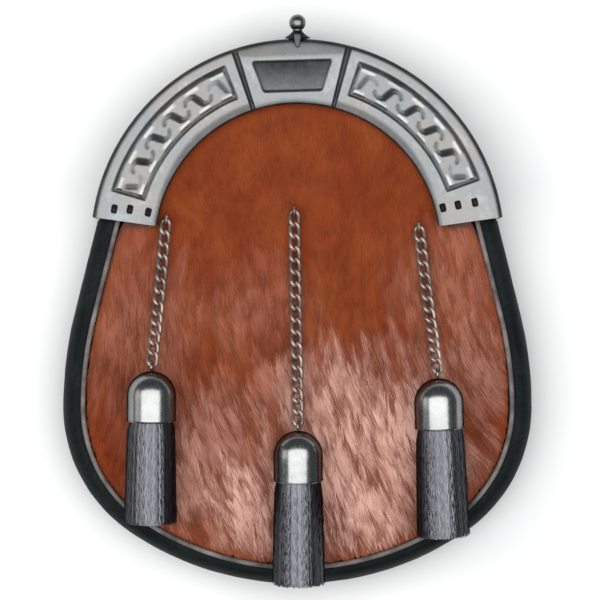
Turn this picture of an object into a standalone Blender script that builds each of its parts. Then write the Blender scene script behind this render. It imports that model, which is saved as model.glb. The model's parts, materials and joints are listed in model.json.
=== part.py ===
"""A dress sporran, lying on its back.

A cast half-round cantle with a ball clasp closes a leather pouch with a short-haired
hide front. Three chains each carry a domed cap and a hair tassel down the front.

Places are measured from the centre of the cantle's arc: x to the right as the front is
seen, y up the pouch, and z out of its front from the surface that its back lies on.
Angles on the cantle are taken from straight up. Everything is in metres.
"""

import math

import bmesh
import bpy
from mathutils import Matrix, Vector
from mathutils.geometry import intersect_line_line_2d

GAP = 0.0003
JOIN_OVERLAP = 0.0001  # how far shapes that become one body sink into each other
CANTLE_CENTRE_Y = 0.02043  # the cantle's centre, from the middle of the whole length

# Outline of the pouch: a bottom arc, a corner arc and a side arc, then a straight run
# that leans in to the end of the cantle's arm.
HALF_WIDTH = 0.0900
WIDEST_Y = -0.0617
BOTTOM_RADIUS = 0.1144
CORNER_RADIUS = 0.0582
SIDE_RADIUS = 0.1484
SIDE_LEAN = math.radians(14.0)
STRAIGHT_TOP_Y = 0.0094
OUTLINE_STEPS = (4, 5, 2)  # in the bottom, corner and side arcs
STRAIGHT_STEPS = 3
ARCH_STEPS = 12

# Leather
SEAM_INSET_SIDE = 0.0077
SEAM_INSET_BOTTOM = 0.0064
SEAM_Z = 0.0252
GUSSET_WALL = 0.0018
GUSSET_PROFILE = (
    # share of the seam's inset, share of the depth from back to front
    (0.96, 1.00),
    (0.42, 0.96),
    (0.02, 0.72),
    (0.00, 0.34),
    (0.34, 0.06),
    (0.80, 0.00),
)
GUSSET_TUCKS = (
    # y inside the frame, extra inset
    (0.0122, 0.0012),
    (0.0136, 0.0013),
)
BACK_WALL = 0.0020
BACK_INSET = 0.0036
BACK_ARCH_RADIUS = 0.0742
BACK_ARCH_START = math.radians(78.0)
BACK_STEP = 0.0033

# Hide front, with its pile lying flat
HIDE_WALL = 0.0030
HIDE_ARCH_RADIUS = 0.0660
HIDE_ARCH_START = math.radians(79.5)
HIDE_CENTRE_Y = -0.0380
HIDE_RINGS = (1.0, 0.95, 0.86, 0.68, 0.36)
HIDE_EDGE_RISE = 0.0012
HIDE_EDGE_SHARE = 0.12
NORMAL_STEP = 0.0005
BELLY_RISE = 0.0098
BELLY_POWERS = (2.8, 0.75)  # how flat the belly's middle is and how round its side
BELLY_Y = -0.0620
BELLY_TOP_Y = 0.0080
BELLY_FOOT_REACH = 0.0620
BELLY_FOOT_FALL = 0.25
CHEST_RISE = 0.0040
CHEST_RADIUS = 0.0540

PIPING_RADIUS = 0.0009

# Cantle and rear frame: castings with a half-round plate and an outer flange
ARM_END = math.radians(82.0)
CANTLE_OUTER = 0.0794
CANTLE_INNER = 0.0544
CANTLE_BACK_Z = 0.0270
CANTLE_FRONT_Z = 0.0310
CANTLE_STEPS = 24
FRAME_OUTER = 0.0792
FRAME_INNER = 0.0660
FRAME_PLATE = 0.0030
FRAME_STEPS = 22
FLANGE_INNER = 0.0771
FRAME_JOIN_Z = 0.0160
RIM_BEVEL = 0.0008

# Knot panels: strands over a lattice, in a sunk field with a groove round it
KNOT_FIELD = (0.0604, 0.0742)
KNOT_FIELD_ANGLES = (math.radians(19.2), math.radians(70.4))
KNOT_RADII = (0.0610, 0.0736)
KNOT_ANGLES = (math.radians(19.8), math.radians(69.8))
KNOT_UNITS = 11
KNOT_ROWS = 4
KNOT_FLOOR_Z = 0.0296
KNOT_HOLE_Z = 0.0298
KNOT_EDGE_Z = 0.0306
KNOT_RIDGE_Z = 0.0310
KNOT_HOLE_SHARE = 0.46  # of the way from a hole's middle to a crossing
KNOT_ROOT = 0.0004

# Centre block, its two side grooves and the pockets at the arms' ends
BLOCK_GROOVE = (math.radians(16.5), math.radians(17.6))
BLOCK_GROOVE_RADII = (0.0520, 0.0786)
BLOCK_GROOVE_DEPTH = 0.0009
BLOCK_TOP = (0.0161, 0.0717)  # half-width and y of the sunk trapezoid's top edge
BLOCK_FOOT = (0.0121, 0.0587)
BLOCK_DEPTH = 0.0009
POCKET_RADII = (0.0584, 0.0650, 0.0716)
POCKET_ANGLE = math.radians(78.0)
POCKET_SIDE = 0.0023
POCKET_DEPTH = 0.0012

# Hinge pins through the join of the two flanges, near the arms' ends
PIN_RADIUS = 0.0015
PIN_Y = 0.0170
PIN_INNER_X = 0.0732
ROD_SIDES = 12

# Clasp
CLASP_PIVOT = (0.0, 0.0811, 0.0110)
PIVOT_PIN_RADIUS = 0.0006
PIVOT_HOLE_RADIUS = 0.0009
KNUCKLE_RADIUS = 0.0014
KNUCKLE_HALF = 0.0015
EAR_INNER = 0.0018
EAR_FOOT = 0.0038
EAR_TOP = 0.0026
EAR_HEIGHT = 0.0028
EAR_LENGTH = 0.0040
BALL_RADIUS = 0.0032
BALL_SEGMENTS = (12, 7)
BALL_Y = 0.0857
STEM_Z = 0.0262
STEM_SIDES = 10
STEM_PROFILE = (
    # y up the stem, radius
    (0.0797, 0.0048),
    (0.0803, 0.0045),
    (0.0815, 0.0028),
    (0.0828, 0.0018),
    (0.0840, 0.0020),
)
NIB_HALF = 0.0017
NIB_TIP_HALF = 0.0006
NIB_TIP_Y = 0.0761
NIB_WALL = 0.0015
LEVER_TOP_Y = 0.0816
LEVER_HALF = 0.00135

# Chains: links twisted so that each lies flat through the next
LINK_PITCH = 0.0047
LINK_HALF_WIDTH = 0.00165
LINK_TWIST = 0.00095
LINK_WIRE = 0.00055
LINK_SECTIONS = 10
WIRE_SIDES = 5
LINK_OVERLAP_CENTRES = 0.0008
CHAIN_CLEARANCE = 0.00185
CHAIN_RISE_LENGTH = 0.0260
CHAIN_PATH_STEPS = 60
STAPLE_RADIUS = 0.0018
STAPLE_WIRE = 0.0005
STAPLE_STEPS = 6
STAPLE_LIFT = 0.0005

# Caps and tassels. Stations run down the axis from the cap's pole.
CAP_RADIUS = 0.0094
CAP_LENGTH = 0.0190
CAP_WALL = 0.0010
CAP_SIDES = 12
CAP_CROWN = (0.0002, 0.0012)  # distance from the pole and radius of the eye's seat
CAP_DOME_STEPS = 4
CAP_EYE_RADIUS = 0.0019
CAP_EYE_RISE = 0.0017
CAP_EYE_SECTIONS = 8
LYING_RADIUS = 0.0090
LYING_SLOPES = (-0.16, 0.06)
LYING_SAMPLES = 14
LYING_MARGIN = 0.05
TASSEL_LOCKS = 10
TASSEL_STATIONS = (
    # distance from the cap's pole, radius, depth of the grooves between locks
    (0.0062, 0.0058, 0.00),
    (0.0100, 0.0078, 0.00),
    (0.0190, 0.0078, 0.00),
    (0.0193, 0.0089, 0.05),
    (0.0380, 0.0094, 0.14),
)
TASSEL_END_RADIUS = 0.0101
TASSEL_END_GROOVE = 0.22
TASSEL_HEART_DEPTH = 0.0020
TASSEL_TWIST = math.radians(9.0)
LOCK_TIP_RADIUS = 0.0086
LOCK_TIP_SPREAD = 0.0011
LOCK_TIP_TURN = 2.4
HANGERS = {
    # chain's eye, pole of the cap and end of the tassel, each as x and y
    "left": ((-0.0503, 0.0105), (-0.0556, -0.0479), (-0.0562, -0.1058)),
    "centre": ((-0.0013, 0.0138), (0.0002, -0.0706), (0.0005, -0.1290)),
    "right": ((0.0464, 0.0077), (0.0535, -0.0506), (0.0558, -0.1108)),
}

# Strap loops on the back: strips stitched at both ends and pressed flat
LOOP_X = 0.0380
LOOP_Y = 0.0290
LOOP_WIDTH = 0.0140
LOOP_WALL = 0.0014
LOOP_PROFILE = (
    # y from the loop's middle, z of the strip's middle
    (-0.0170, 0.0022),
    (-0.0120, 0.0022),
    (-0.0085, 0.0008),
    (0.0085, 0.0008),
    (0.0120, 0.0022),
    (0.0170, 0.0022),
)

FINISHES = {
    # colour, roughness, metallic
    "antique_silver": ((0.36, 0.36, 0.37), 0.32, 1.0),
    "dark_steel": ((0.16, 0.16, 0.16), 0.45, 1.0),
    "chrome": ((0.62, 0.63, 0.65), 0.12, 1.0),
    "russet_hide": ((0.27, 0.075, 0.026), 0.65, 0.0),
    "black_leather": ((0.012, 0.012, 0.013), 0.42, 0.0),
    "grey_thread": ((0.16, 0.145, 0.125), 0.70, 0.0),
    "black_hair": ((0.018, 0.018, 0.021), 0.45, 0.0),
}


def clear_scene():
    for thing in list(bpy.data.objects):
        bpy.data.objects.remove(thing, do_unlink=True)


def finish_material(name):
    material = bpy.data.materials.get(name)
    if material:
        return material
    colour, roughness, metallic = FINISHES[name]
    material = bpy.data.materials.new(name)
    material.use_nodes = True
    shader = material.node_tree.nodes["Principled BSDF"]
    shader.inputs["Base Color"].default_value = (*colour, 1.0)
    shader.inputs["Roughness"].default_value = roughness
    shader.inputs["Metallic"].default_value = metallic
    return material


def add_object(name, bm, finish, frame, origin=(0.0, 0.0, 0.0)):
    """Turns a bmesh in the cantle's frame into a named object whose origin is given."""
    bmesh.ops.transform(bm, matrix=Matrix.Translation(-Vector(origin)), verts=bm.verts)
    bmesh.ops.recalc_face_normals(bm, faces=bm.faces)
    mesh = bpy.data.meshes.new(name)
    bm.to_mesh(mesh)
    bm.free()
    mesh.materials.append(finish_material(finish))
    mesh.shade_smooth()
    mesh.set_sharp_from_angle(angle=math.radians(35.0))
    thing = bpy.data.objects.new(name, mesh)
    bpy.context.scene.collection.objects.link(thing)
    thing.location = origin
    thing.parent = frame
    return thing


def add_boolean(thing, operation, tool):
    """Cuts with, or joins, a hidden helper object."""
    tool.hide_render = True
    tool.display_type = "WIRE"
    modifier = thing.modifiers.new(operation.title(), "BOOLEAN")
    modifier.operation = operation
    modifier.solver = "EXACT"
    modifier.object = tool


def add_loft(bm, rings, closed=False):
    """Skins rings of points, with a face on each end unless the rings close on themselves."""
    made = [[bm.verts.new(point) for point in ring] for ring in rings]
    pairs = list(zip(made, made[1:]))
    if closed:
        pairs.append((made[-1], made[0]))
    for first, second in pairs:
        for k in range(len(first)):
            n = (k + 1) % len(first)
            bm.faces.new((first[k], first[n], second[n], second[k]))
    if not closed:
        bm.faces.new(made[0])
        bm.faces.new(made[-1])
    return made


def add_prism(bm, outline, low, high):
    add_loft(bm, [[(x, y, z) for x, y in outline] for z in (low, high)])


def add_box(bm, low, high):
    outline = ((low[0], low[1]), (high[0], low[1]), (high[0], high[1]), (low[0], high[1]))
    add_prism(bm, outline, low[2], high[2])


def polar(radius, angle):
    return radius * math.sin(angle), radius * math.cos(angle)


def spread(first, last, steps):
    return [first + (last - first) * k / steps for k in range(steps + 1)]


def smooth_step(value):
    value = min(1.0, max(0.0, value))
    return value * value * (3.0 - 2.0 * value)


# ---------------------------------------------------------------- outline and heights


def half_outline():
    """The right half of the outline from the bottom up: each point with its outward normal."""
    corner_x = HALF_WIDTH - CORNER_RADIUS
    reach = BOTTOM_RADIUS - CORNER_RADIUS
    bottom_y = WIDEST_Y + math.sqrt(reach**2 - corner_x**2)
    turn = math.asin(corner_x / reach)
    side = math.pi / 2
    arcs = (
        # centre x, centre y, radius, first and last angle from straight down
        (0.0, bottom_y, BOTTOM_RADIUS, 0.0, turn),
        (corner_x, WIDEST_Y, CORNER_RADIUS, turn, side),
        (HALF_WIDTH - SIDE_RADIUS, WIDEST_Y, SIDE_RADIUS, side, side + SIDE_LEAN),
    )
    stations = []
    for (x, y, radius, first, last), steps in zip(arcs, OUTLINE_STEPS):
        for angle in spread(first, last, steps)[:-1]:
            normal = Vector((math.sin(angle), -math.cos(angle)))
            stations.append((Vector((x, y)) + normal * radius, normal))
    normal = Vector((math.cos(SIDE_LEAN), math.sin(SIDE_LEAN)))
    start = Vector((HALF_WIDTH - SIDE_RADIUS, WIDEST_Y)) + normal * SIDE_RADIUS
    for y in spread(start.y, STRAIGHT_TOP_Y, STRAIGHT_STEPS):
        lean = (y - start.y) * math.tan(SIDE_LEAN)
        stations.append((Vector((start.x - lean, y)), normal))
    return stations


def whole_outline(right):
    """A half outline and its mirror image, from the left arm round to the right one."""
    left = [(Vector((-p.x, p.y)), Vector((-n.x, n.y))) for p, n in right[:0:-1]]
    return left + right


def seam_inset(normal):
    side_share = normal.x**2
    return SEAM_INSET_BOTTOM + (SEAM_INSET_SIDE - SEAM_INSET_BOTTOM) * side_share


def seam_line(offset=0.0):
    stations = whole_outline(half_outline())
    return [point - normal * (seam_inset(normal) + offset) for point, normal in stations]


def closed_over_arch(line, radius, start):
    """Closes a line that runs from arm to arm with an arc under the cantle."""
    return line + [Vector(polar(radius, angle)) for angle in spread(start, -start, ARCH_STEPS)]


def back_step_span():
    """The back panel steps up over all but the last of the outline's straight steps."""
    low = WIDEST_Y + SIDE_RADIUS * math.sin(SIDE_LEAN)
    return low, STRAIGHT_TOP_Y - (STRAIGHT_TOP_Y - low) / STRAIGHT_STEPS


def back_height(y):
    """Outer face of the back panel: it steps up to lie inside the rear frame."""
    low, high = back_step_span()
    return BACK_STEP * min(1.0, max(0.0, (y - low) / (high - low)))


HIDE_RIM = closed_over_arch(seam_line(GAP), HIDE_ARCH_RADIUS, HIDE_ARCH_START)


def hide_share(x, y):
    """0 at the middle of the hide front and 1 at its rim."""
    centre = Vector((0.0, HIDE_CENTRE_Y))
    ray = Vector((x, y)) - centre
    if ray.length < 1e-9:
        return 0.0
    far = centre + ray.normalized()
    for start, end in zip(HIDE_RIM, HIDE_RIM[1:] + HIDE_RIM[:1]):
        hit = intersect_line_line_2d(centre, far, start, end)
        if hit:
            return ray.length / (hit - centre).length
    return 1.0


def hide_height(x, y):
    """Front face of the hide: a belly low down and a low swell inside the cantle."""
    share = min(1.0, hide_share(x, y))
    edge = smooth_step((1.0 - share) / HIDE_EDGE_SHARE)
    across = (1.0 - share ** BELLY_POWERS[0]) ** BELLY_POWERS[1]
    if y > BELLY_Y:
        fall = min(1.0, (y - BELLY_Y) / (BELLY_TOP_Y - BELLY_Y))
        along = 0.5 + 0.5 * math.cos(math.pi * fall)
    else:
        along = 1.0 - BELLY_FOOT_FALL * ((y - BELLY_Y) / BELLY_FOOT_REACH) ** 2
    chest = max(0.0, 1.0 - (x * x + y * y) / CHEST_RADIUS**2) ** 2
    return SEAM_Z + HIDE_EDGE_RISE * edge + BELLY_RISE * across * along + CHEST_RISE * chest


# ------------------------------------------------------------------------------ leather


def gusset_sections():
    """Each section's points run over the outside of the leather, from front to back."""
    stations = [(point, normal, 0.0) for point, normal in half_outline()]
    top, normal = stations[-1][:2]
    for y, tuck in GUSSET_TUCKS:
        lean = (y - top.y) * math.tan(SIDE_LEAN)
        stations.append((Vector((top.x - lean, y)), normal, tuck))
    mirrored = [
        (Vector((-p.x, p.y)), Vector((-n.x, n.y)), tuck) for p, n, tuck in stations[:0:-1]
    ]
    sections = []
    for point, normal, tuck in mirrored + stations:
        back = back_height(point.y) + BACK_WALL + GAP
        section = []
        for inset, height in GUSSET_PROFILE:
            place = point - normal * (inset * seam_inset(normal) + tuck)
            section.append((place.x, place.y, back + (SEAM_Z - back) * height))
        sections.append(section)
    return sections


def add_sheet(bm, sections):
    made = [[bm.verts.new(point) for point in section] for section in sections]
    for first, second in zip(made, made[1:]):
        for k in range(len(first) - 1):
            bm.faces.new((first[k], second[k], second[k + 1], first[k + 1]))


def add_wall(thing, thickness):
    modifier = thing.modifiers.new("Wall", "SOLIDIFY")
    modifier.thickness = thickness
    modifier.offset = -1.0
    modifier.use_even_offset = True


def make_gusset(frame):
    bm = bmesh.new()
    add_sheet(bm, gusset_sections())
    thing = add_object("gusset", bm, "black_leather", frame)
    flip_if_inward(thing, Vector((HALF_WIDTH, WIDEST_Y, 0.5 * SEAM_Z)))
    add_wall(thing, GUSSET_WALL)


def flip_if_inward(thing, outside):
    """Turns an open sheet round where its nearest face looks away from a point outside it."""
    mesh = thing.data
    nearest = min(mesh.polygons, key=lambda face: (face.center - outside).length)
    inside = Vector((0.0, HIDE_CENTRE_Y, nearest.center.z))
    if nearest.normal.dot(nearest.center - inside) < 0.0:
        mesh.flip_normals()


def make_back_panel(frame):
    stations = whole_outline(half_outline())
    line = [point - normal * BACK_INSET for point, normal in stations]
    outline = closed_over_arch(line, BACK_ARCH_RADIUS, BACK_ARCH_START)
    bm = bmesh.new()
    bm.faces.new([bm.verts.new((x, y, 0.0)) for x, y in outline])
    for y in back_step_span():
        geometry = bm.verts[:] + bm.edges[:] + bm.faces[:]
        bmesh.ops.bisect_plane(bm, geom=geometry, plane_co=(0, y, 0), plane_no=(0, 1, 0))
    bmesh.ops.triangulate(bm, faces=bm.faces)
    outer = bm.verts[:]
    bmesh.ops.extrude_face_region(bm, geom=bm.faces[:], use_keep_orig=True)
    inner = [vert for vert in bm.verts if vert not in set(outer)]
    for vert in outer:
        vert.co.z = back_height(vert.co.y)
    for vert in inner:
        vert.co.z = back_height(vert.co.y) + BACK_WALL
    add_object("back_panel", bm, "black_leather", frame)


def make_front_panel(frame):
    """Rings of points shrink from the hide's rim to its middle and ride up its swell."""
    centre = Vector((0.0, HIDE_CENTRE_Y))
    bm = bmesh.new()
    rings = []
    for share in HIDE_RINGS:
        ring = []
        for corner in HIDE_RIM:
            x, y = centre + (corner - centre) * share
            ring.append(bm.verts.new((x, y, hide_height(x, y))))
        rings.append(ring)
    count = len(HIDE_RIM)
    for outer, inner in zip(rings, rings[1:]):
        for k in range(count):
            n = (k + 1) % count
            bm.faces.new((outer[k], outer[n], inner[n], inner[k]))
    middle = bm.verts.new((*centre, hide_height(*centre)))
    for k in range(0, count, 2):
        inner = rings[-1]
        bm.faces.new((inner[k], inner[(k + 1) % count], inner[(k + 2) % count], middle))
    thing = add_object("front_panel", bm, "russet_hide", frame)
    if thing.data.polygons[0].normal.z < 0.0:
        thing.data.flip_normals()
    add_wall(thing, HIDE_WALL)


def make_piping(frame):
    points = [(p.x, p.y, SEAM_Z + GAP + PIPING_RADIUS) for p in seam_line()]
    curve = bpy.data.curves.new("front_piping", "CURVE")
    curve.dimensions = "3D"
    curve.bevel_depth = PIPING_RADIUS
    curve.bevel_resolution = 1
    curve.use_fill_caps = True
    spline = curve.splines.new("POLY")
    spline.points.add(len(points) - 1)
    for target, point in zip(spline.points, points):
        target.co = (*point, 1.0)
    curve.materials.append(finish_material("grey_thread"))
    thing = bpy.data.objects.new("front_piping", curve)
    bpy.context.scene.collection.objects.link(thing)
    thing.parent = frame


def make_strap_loops(frame):
    for side, sign in (("left", -1.0), ("right", 1.0)):
        bm = bmesh.new()
        rings = []
        for y, z in LOOP_PROFILE:
            low, high = z - 0.5 * LOOP_WALL, z + 0.5 * LOOP_WALL
            x = 0.5 * LOOP_WIDTH
            rings.append([(-x, y, low), (x, y, low), (x, y, high), (-x, y, high)])
        add_loft(bm, rings)
        place = (sign * LOOP_X, LOOP_Y, 0.0)
        bmesh.ops.translate(bm, vec=place, verts=bm.verts)
        add_object(f"strap_loop_{side}", bm, "black_leather", frame, place)


# -------------------------------------------------------------------------------- frame


def add_half_ring(bm, section, steps):
    """Sweeps a closed section of (radius, z) corners from one arm's end to the other."""
    rings = []
    for angle in spread(-ARM_END, ARM_END, steps):
        rings.append([(*polar(radius, angle), z) for radius, z in section])
    add_loft(bm, rings)


def add_sector(bm, radii, angles, heights, steps=1):
    turns = spread(*angles, steps)
    outline = [polar(radii[0], angle) for angle in turns]
    outline += [polar(radii[1], angle) for angle in reversed(turns)]
    add_prism(bm, outline, *heights)


def cantle_cuts(bm):
    """Everything sunk into the cantle's front: fields, grooves, block and pockets."""
    above = CANTLE_FRONT_Z + RIM_BEVEL
    for sign in (-1.0, 1.0):
        field = [sign * angle for angle in KNOT_FIELD_ANGLES]
        add_sector(bm, KNOT_FIELD, field, (KNOT_FLOOR_Z, above), KNOT_UNITS)
        groove = [sign * angle for angle in BLOCK_GROOVE]
        low = CANTLE_FRONT_Z - BLOCK_GROOVE_DEPTH
        add_sector(bm, BLOCK_GROOVE_RADII, groove, (low, above))
        for radius in POCKET_RADII:
            reach = 0.5 * POCKET_SIDE
            turn = reach / radius
            span = (sign * POCKET_ANGLE - turn, sign * POCKET_ANGLE + turn)
            low = CANTLE_FRONT_Z - POCKET_DEPTH
            add_sector(bm, (radius - reach, radius + reach), span, (low, above))
    top, foot = BLOCK_TOP, BLOCK_FOOT
    outline = ((-foot[0], foot[1]), (foot[0], foot[1]), (top[0], top[1]), (-top[0], top[1]))
    add_prism(bm, outline, CANTLE_FRONT_Z - BLOCK_DEPTH, above)


def add_pin_holes(bm):
    for sign in (-1.0, 1.0):
        ends = (sign * (PIN_INNER_X - GAP), sign * (FRAME_OUTER + PIN_RADIUS))
        add_rod(bm, ends, PIN_RADIUS + GAP)


def add_rod(bm, ends, radius):
    """A hinge pin's rod, lying along x on the join of the two flanges."""
    rings = []
    for x in ends:
        ring = []
        for k in range(ROD_SIDES):
            angle = 2.0 * math.pi * (k + 0.5) / ROD_SIDES
            y = PIN_Y + radius * math.cos(angle)
            ring.append((x, y, FRAME_JOIN_Z + radius * math.sin(angle)))
        rings.append(ring)
    add_loft(bm, rings)


def knot_place(i, j, height):
    """A lattice point: i runs along the panel and j across it."""
    start, end = KNOT_ANGLES
    low, high = KNOT_RADII
    angle = start + (end - start) * i / KNOT_UNITS
    return Vector((*polar(low + (high - low) * j / KNOT_ROWS, angle), height))


def add_knot_cell(bm, i, j):
    """One cell: a strand runs between its even corners, past a sunk hole at each odd one."""
    corners = [(i, j), (i + 1, j), (i + 1, j + 1), (i, j + 1)]
    if (i + j) % 2:
        corners = corners[1:] + corners[:1]
    near, hole_a, far, hole_b = corners
    ridge = [bm.verts.new(knot_place(*corner, KNOT_RIDGE_Z)) for corner in (near, far)]
    for hole in (hole_a, hole_b):
        edge = []
        for end in (near, far):
            u = hole[0] + (end[0] - hole[0]) * KNOT_HOLE_SHARE
            v = hole[1] + (end[1] - hole[1]) * KNOT_HOLE_SHARE
            edge.append(bm.verts.new(knot_place(u, v, KNOT_EDGE_Z)))
        middle = bm.verts.new(knot_place(*hole, KNOT_HOLE_Z))
        bm.faces.new((middle, edge[0], edge[1]))
        bm.faces.new((edge[0], ridge[0], ridge[1], edge[1]))


def add_knot_panel(bm, sign):
    """The relief of one panel as a closed slab whose root sinks into the field's floor."""
    panel = bmesh.new()
    for i in range(KNOT_UNITS):
        for j in range(KNOT_ROWS):
            add_knot_cell(panel, i, j)
    bmesh.ops.remove_doubles(panel, verts=panel.verts, dist=1e-6)
    border = [edge for edge in panel.edges if edge.is_boundary]
    made = bmesh.ops.extrude_edge_only(panel, edges=border)["geom"]
    rim = [item for item in made if isinstance(item, bmesh.types.BMVert)]
    for vert in rim:
        vert.co.z = KNOT_FLOOR_Z - KNOT_ROOT
    edges = [edge for edge in panel.edges if edge.is_boundary]
    bmesh.ops.contextual_create(panel, geom=edges)
    if sign < 0.0:
        bmesh.ops.scale(panel, vec=(-1.0, 1.0, 1.0), verts=panel.verts)
    bmesh.ops.recalc_face_normals(panel, faces=panel.faces)
    mesh = bpy.data.meshes.new("knot_panel_relief")
    panel.to_mesh(mesh)
    panel.free()
    bm.from_mesh(mesh)
    bpy.data.meshes.remove(mesh)


def make_cantle(frame):
    front, back, bevel = CANTLE_FRONT_Z, CANTLE_BACK_Z, RIM_BEVEL
    section = (
        (CANTLE_INNER, back),
        (CANTLE_INNER, front - bevel),
        (CANTLE_INNER + bevel, front),
        (CANTLE_OUTER - bevel, front),
        (CANTLE_OUTER, front - bevel),
        (CANTLE_OUTER, FRAME_JOIN_Z + 0.5 * GAP),
        (FLANGE_INNER, FRAME_JOIN_Z + 0.5 * GAP),
        (FLANGE_INNER, back),
    )
    bm = bmesh.new()
    add_half_ring(bm, section, CANTLE_STEPS)
    cantle = add_object("cantle", bm, "antique_silver", frame)

    cuts = bmesh.new()
    cantle_cuts(cuts)
    add_pin_holes(cuts)
    add_boolean(cantle, "DIFFERENCE", add_object("cantle_cuts", cuts, "antique_silver", frame))

    relief = bmesh.new()
    for sign in (-1.0, 1.0):
        add_knot_panel(relief, sign)
    add_boolean(cantle, "UNION", add_object("knot_relief", relief, "antique_silver", frame))


def make_rear_frame(frame):
    bevel = 0.5 * RIM_BEVEL
    section = (
        (FRAME_INNER, 0.0),
        (FRAME_INNER, FRAME_PLATE),
        (FLANGE_INNER, FRAME_PLATE),
        (FLANGE_INNER, FRAME_JOIN_Z - 0.5 * GAP),
        (FRAME_OUTER, FRAME_JOIN_Z - 0.5 * GAP),
        (FRAME_OUTER, bevel),
        (FRAME_OUTER - bevel, 0.0),
    )
    bm = bmesh.new()
    add_half_ring(bm, section, FRAME_STEPS)
    rear = add_object("rear_frame", bm, "dark_steel", frame)
    cuts = bmesh.new()
    add_pin_holes(cuts)
    add_boolean(rear, "DIFFERENCE", add_object("frame_cuts", cuts, "dark_steel", frame))


def make_hinge_pins(frame):
    outer = math.sqrt(FRAME_OUTER**2 - PIN_Y**2)
    for side, sign in (("left", -1.0), ("right", 1.0)):
        bm = bmesh.new()
        add_rod(bm, (sign * PIN_INNER_X, sign * outer), PIN_RADIUS)
        place = (sign * PIN_INNER_X, PIN_Y, FRAME_JOIN_Z)
        add_object(f"hinge_pin_{side}", bm, "dark_steel", frame, place)


# -------------------------------------------------------------------------------- clasp


def add_cross_rod(bm, half, radius):
    """A rod on the clasp's pivot, along x."""
    _, y, z = CLASP_PIVOT
    rings = []
    for x in (-half, half):
        ring = []
        for k in range(ROD_SIDES):
            angle = 2.0 * math.pi * k / ROD_SIDES
            ring.append((x, y + radius * math.cos(angle), z + radius * math.sin(angle)))
        rings.append(ring)
    add_loft(bm, rings)


def add_turned(bm, stations, sides, place):
    """Skins rings of (distance, radius), each placed round an axis by the function given."""
    rings = []
    for along, radius in stations:
        ring = []
        for k in range(sides):
            angle = 2.0 * math.pi * k / sides
            ring.append(place(along, radius * math.cos(angle), radius * math.sin(angle)))
        rings.append(ring)
    add_loft(bm, rings)


def on_stem(along, across, out):
    return across, along, STEM_Z + out


def make_clasp_bracket(frame):
    """Two ears that stand on the rear frame, with the lever's pin between them."""
    z = CLASP_PIVOT[2]
    foot = FRAME_OUTER + GAP
    bm = bmesh.new()
    add_cross_rod(bm, 0.5 * (EAR_INNER + EAR_TOP), PIVOT_PIN_RADIUS)
    bracket = add_object("clasp_bracket", bm, "dark_steel", frame, CLASP_PIVOT)
    ears = bmesh.new()
    for sign in (-1.0, 1.0):
        outline = (
            (sign * EAR_INNER, foot),
            (sign * EAR_FOOT, foot),
            (sign * EAR_TOP, foot + EAR_HEIGHT),
            (sign * EAR_INNER, foot + EAR_HEIGHT),
        )
        add_prism(ears, outline, z - 0.5 * EAR_LENGTH, z + 0.5 * EAR_LENGTH)
    add_boolean(bracket, "UNION", add_object("bracket_ears", ears, "dark_steel", frame))


def make_clasp_lever(frame):
    """Ball, stem, arm and nib in one, turning on the bracket's pin."""
    low = CANTLE_OUTER + 1.5 * GAP
    front = CANTLE_FRONT_Z + GAP
    bm = bmesh.new()
    add_turned(bm, STEM_PROFILE, STEM_SIDES, on_stem)
    lever = add_object("clasp_lever", bm, "chrome", frame, CLASP_PIVOT)

    ball = bmesh.new()
    around, along = BALL_SEGMENTS
    bmesh.ops.create_uvsphere(ball, u_segments=around, v_segments=along, radius=BALL_RADIUS)
    bmesh.ops.rotate(ball, matrix=Matrix.Rotation(math.pi / 2, 3, "X"), verts=ball.verts)
    bmesh.ops.translate(ball, vec=(0.0, BALL_Y, STEM_Z), verts=ball.verts)
    add_boolean(lever, "UNION", add_object("ball", ball, "chrome", frame))

    arm = bmesh.new()
    top = front + 0.5 * NIB_WALL
    add_box(arm, (-LEVER_HALF, low, CLASP_PIVOT[2]), (LEVER_HALF, LEVER_TOP_Y, top))
    add_boolean(lever, "UNION", add_object("arm", arm, "chrome", frame))

    knuckle = bmesh.new()
    add_cross_rod(knuckle, KNUCKLE_HALF, KNUCKLE_RADIUS)
    add_boolean(lever, "UNION", add_object("knuckle", knuckle, "chrome", frame))

    nib = bmesh.new()
    root = LEVER_TOP_Y - JOIN_OVERLAP
    outline = (
        (-NIB_HALF, root),
        (-NIB_TIP_HALF, NIB_TIP_Y),
        (NIB_TIP_HALF, NIB_TIP_Y),
        (NIB_HALF, root),
    )
    add_prism(nib, outline, front, front + NIB_WALL)
    add_boolean(lever, "UNION", add_object("nib", nib, "chrome", frame))

    hole = bmesh.new()
    add_cross_rod(hole, 2.0 * KNUCKLE_HALF, PIVOT_HOLE_RADIUS)
    add_boolean(lever, "DIFFERENCE", add_object("pivot_hole", hole, "chrome", frame))


# ------------------------------------------------------------------ chains and tassels


def resting_height(x, y, radius):
    """How high the axis of a lying cylinder must be to clear the hide at one place."""
    needed = 0.0
    for share in spread(LYING_MARGIN - 1.0, 1.0 - LYING_MARGIN, LYING_SAMPLES):
        lift = radius * math.sqrt(1.0 - share * share)
        needed = max(needed, hide_height(x + share * radius, y) + lift)
    return needed + GAP


def lying_axis(cap, end):
    """The pole and direction of a cap and tassel laid on the hide at its lowest."""
    cap, end = Vector(cap), Vector(end)
    length = (end - cap).length
    ahead = (end - cap) / length
    needed = []
    for share in spread(LYING_MARGIN, 1.0 - LYING_MARGIN, LYING_SAMPLES):
        x, y = cap + ahead * (length * share)
        needed.append((share, resting_height(x, y, LYING_RADIUS)))
    best = None
    for slope in spread(*LYING_SLOPES, LYING_SAMPLES):
        pole = max(height - slope * length * share for share, height in needed)
        middle = pole + 0.5 * slope * length
        if best is None or middle < best[0]:
            best = (middle, pole, slope)
    _, pole, slope = best
    direction = Vector((ahead.x, ahead.y, slope)).normalized()
    return Vector((cap.x, cap.y, pole)), direction, length


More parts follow.
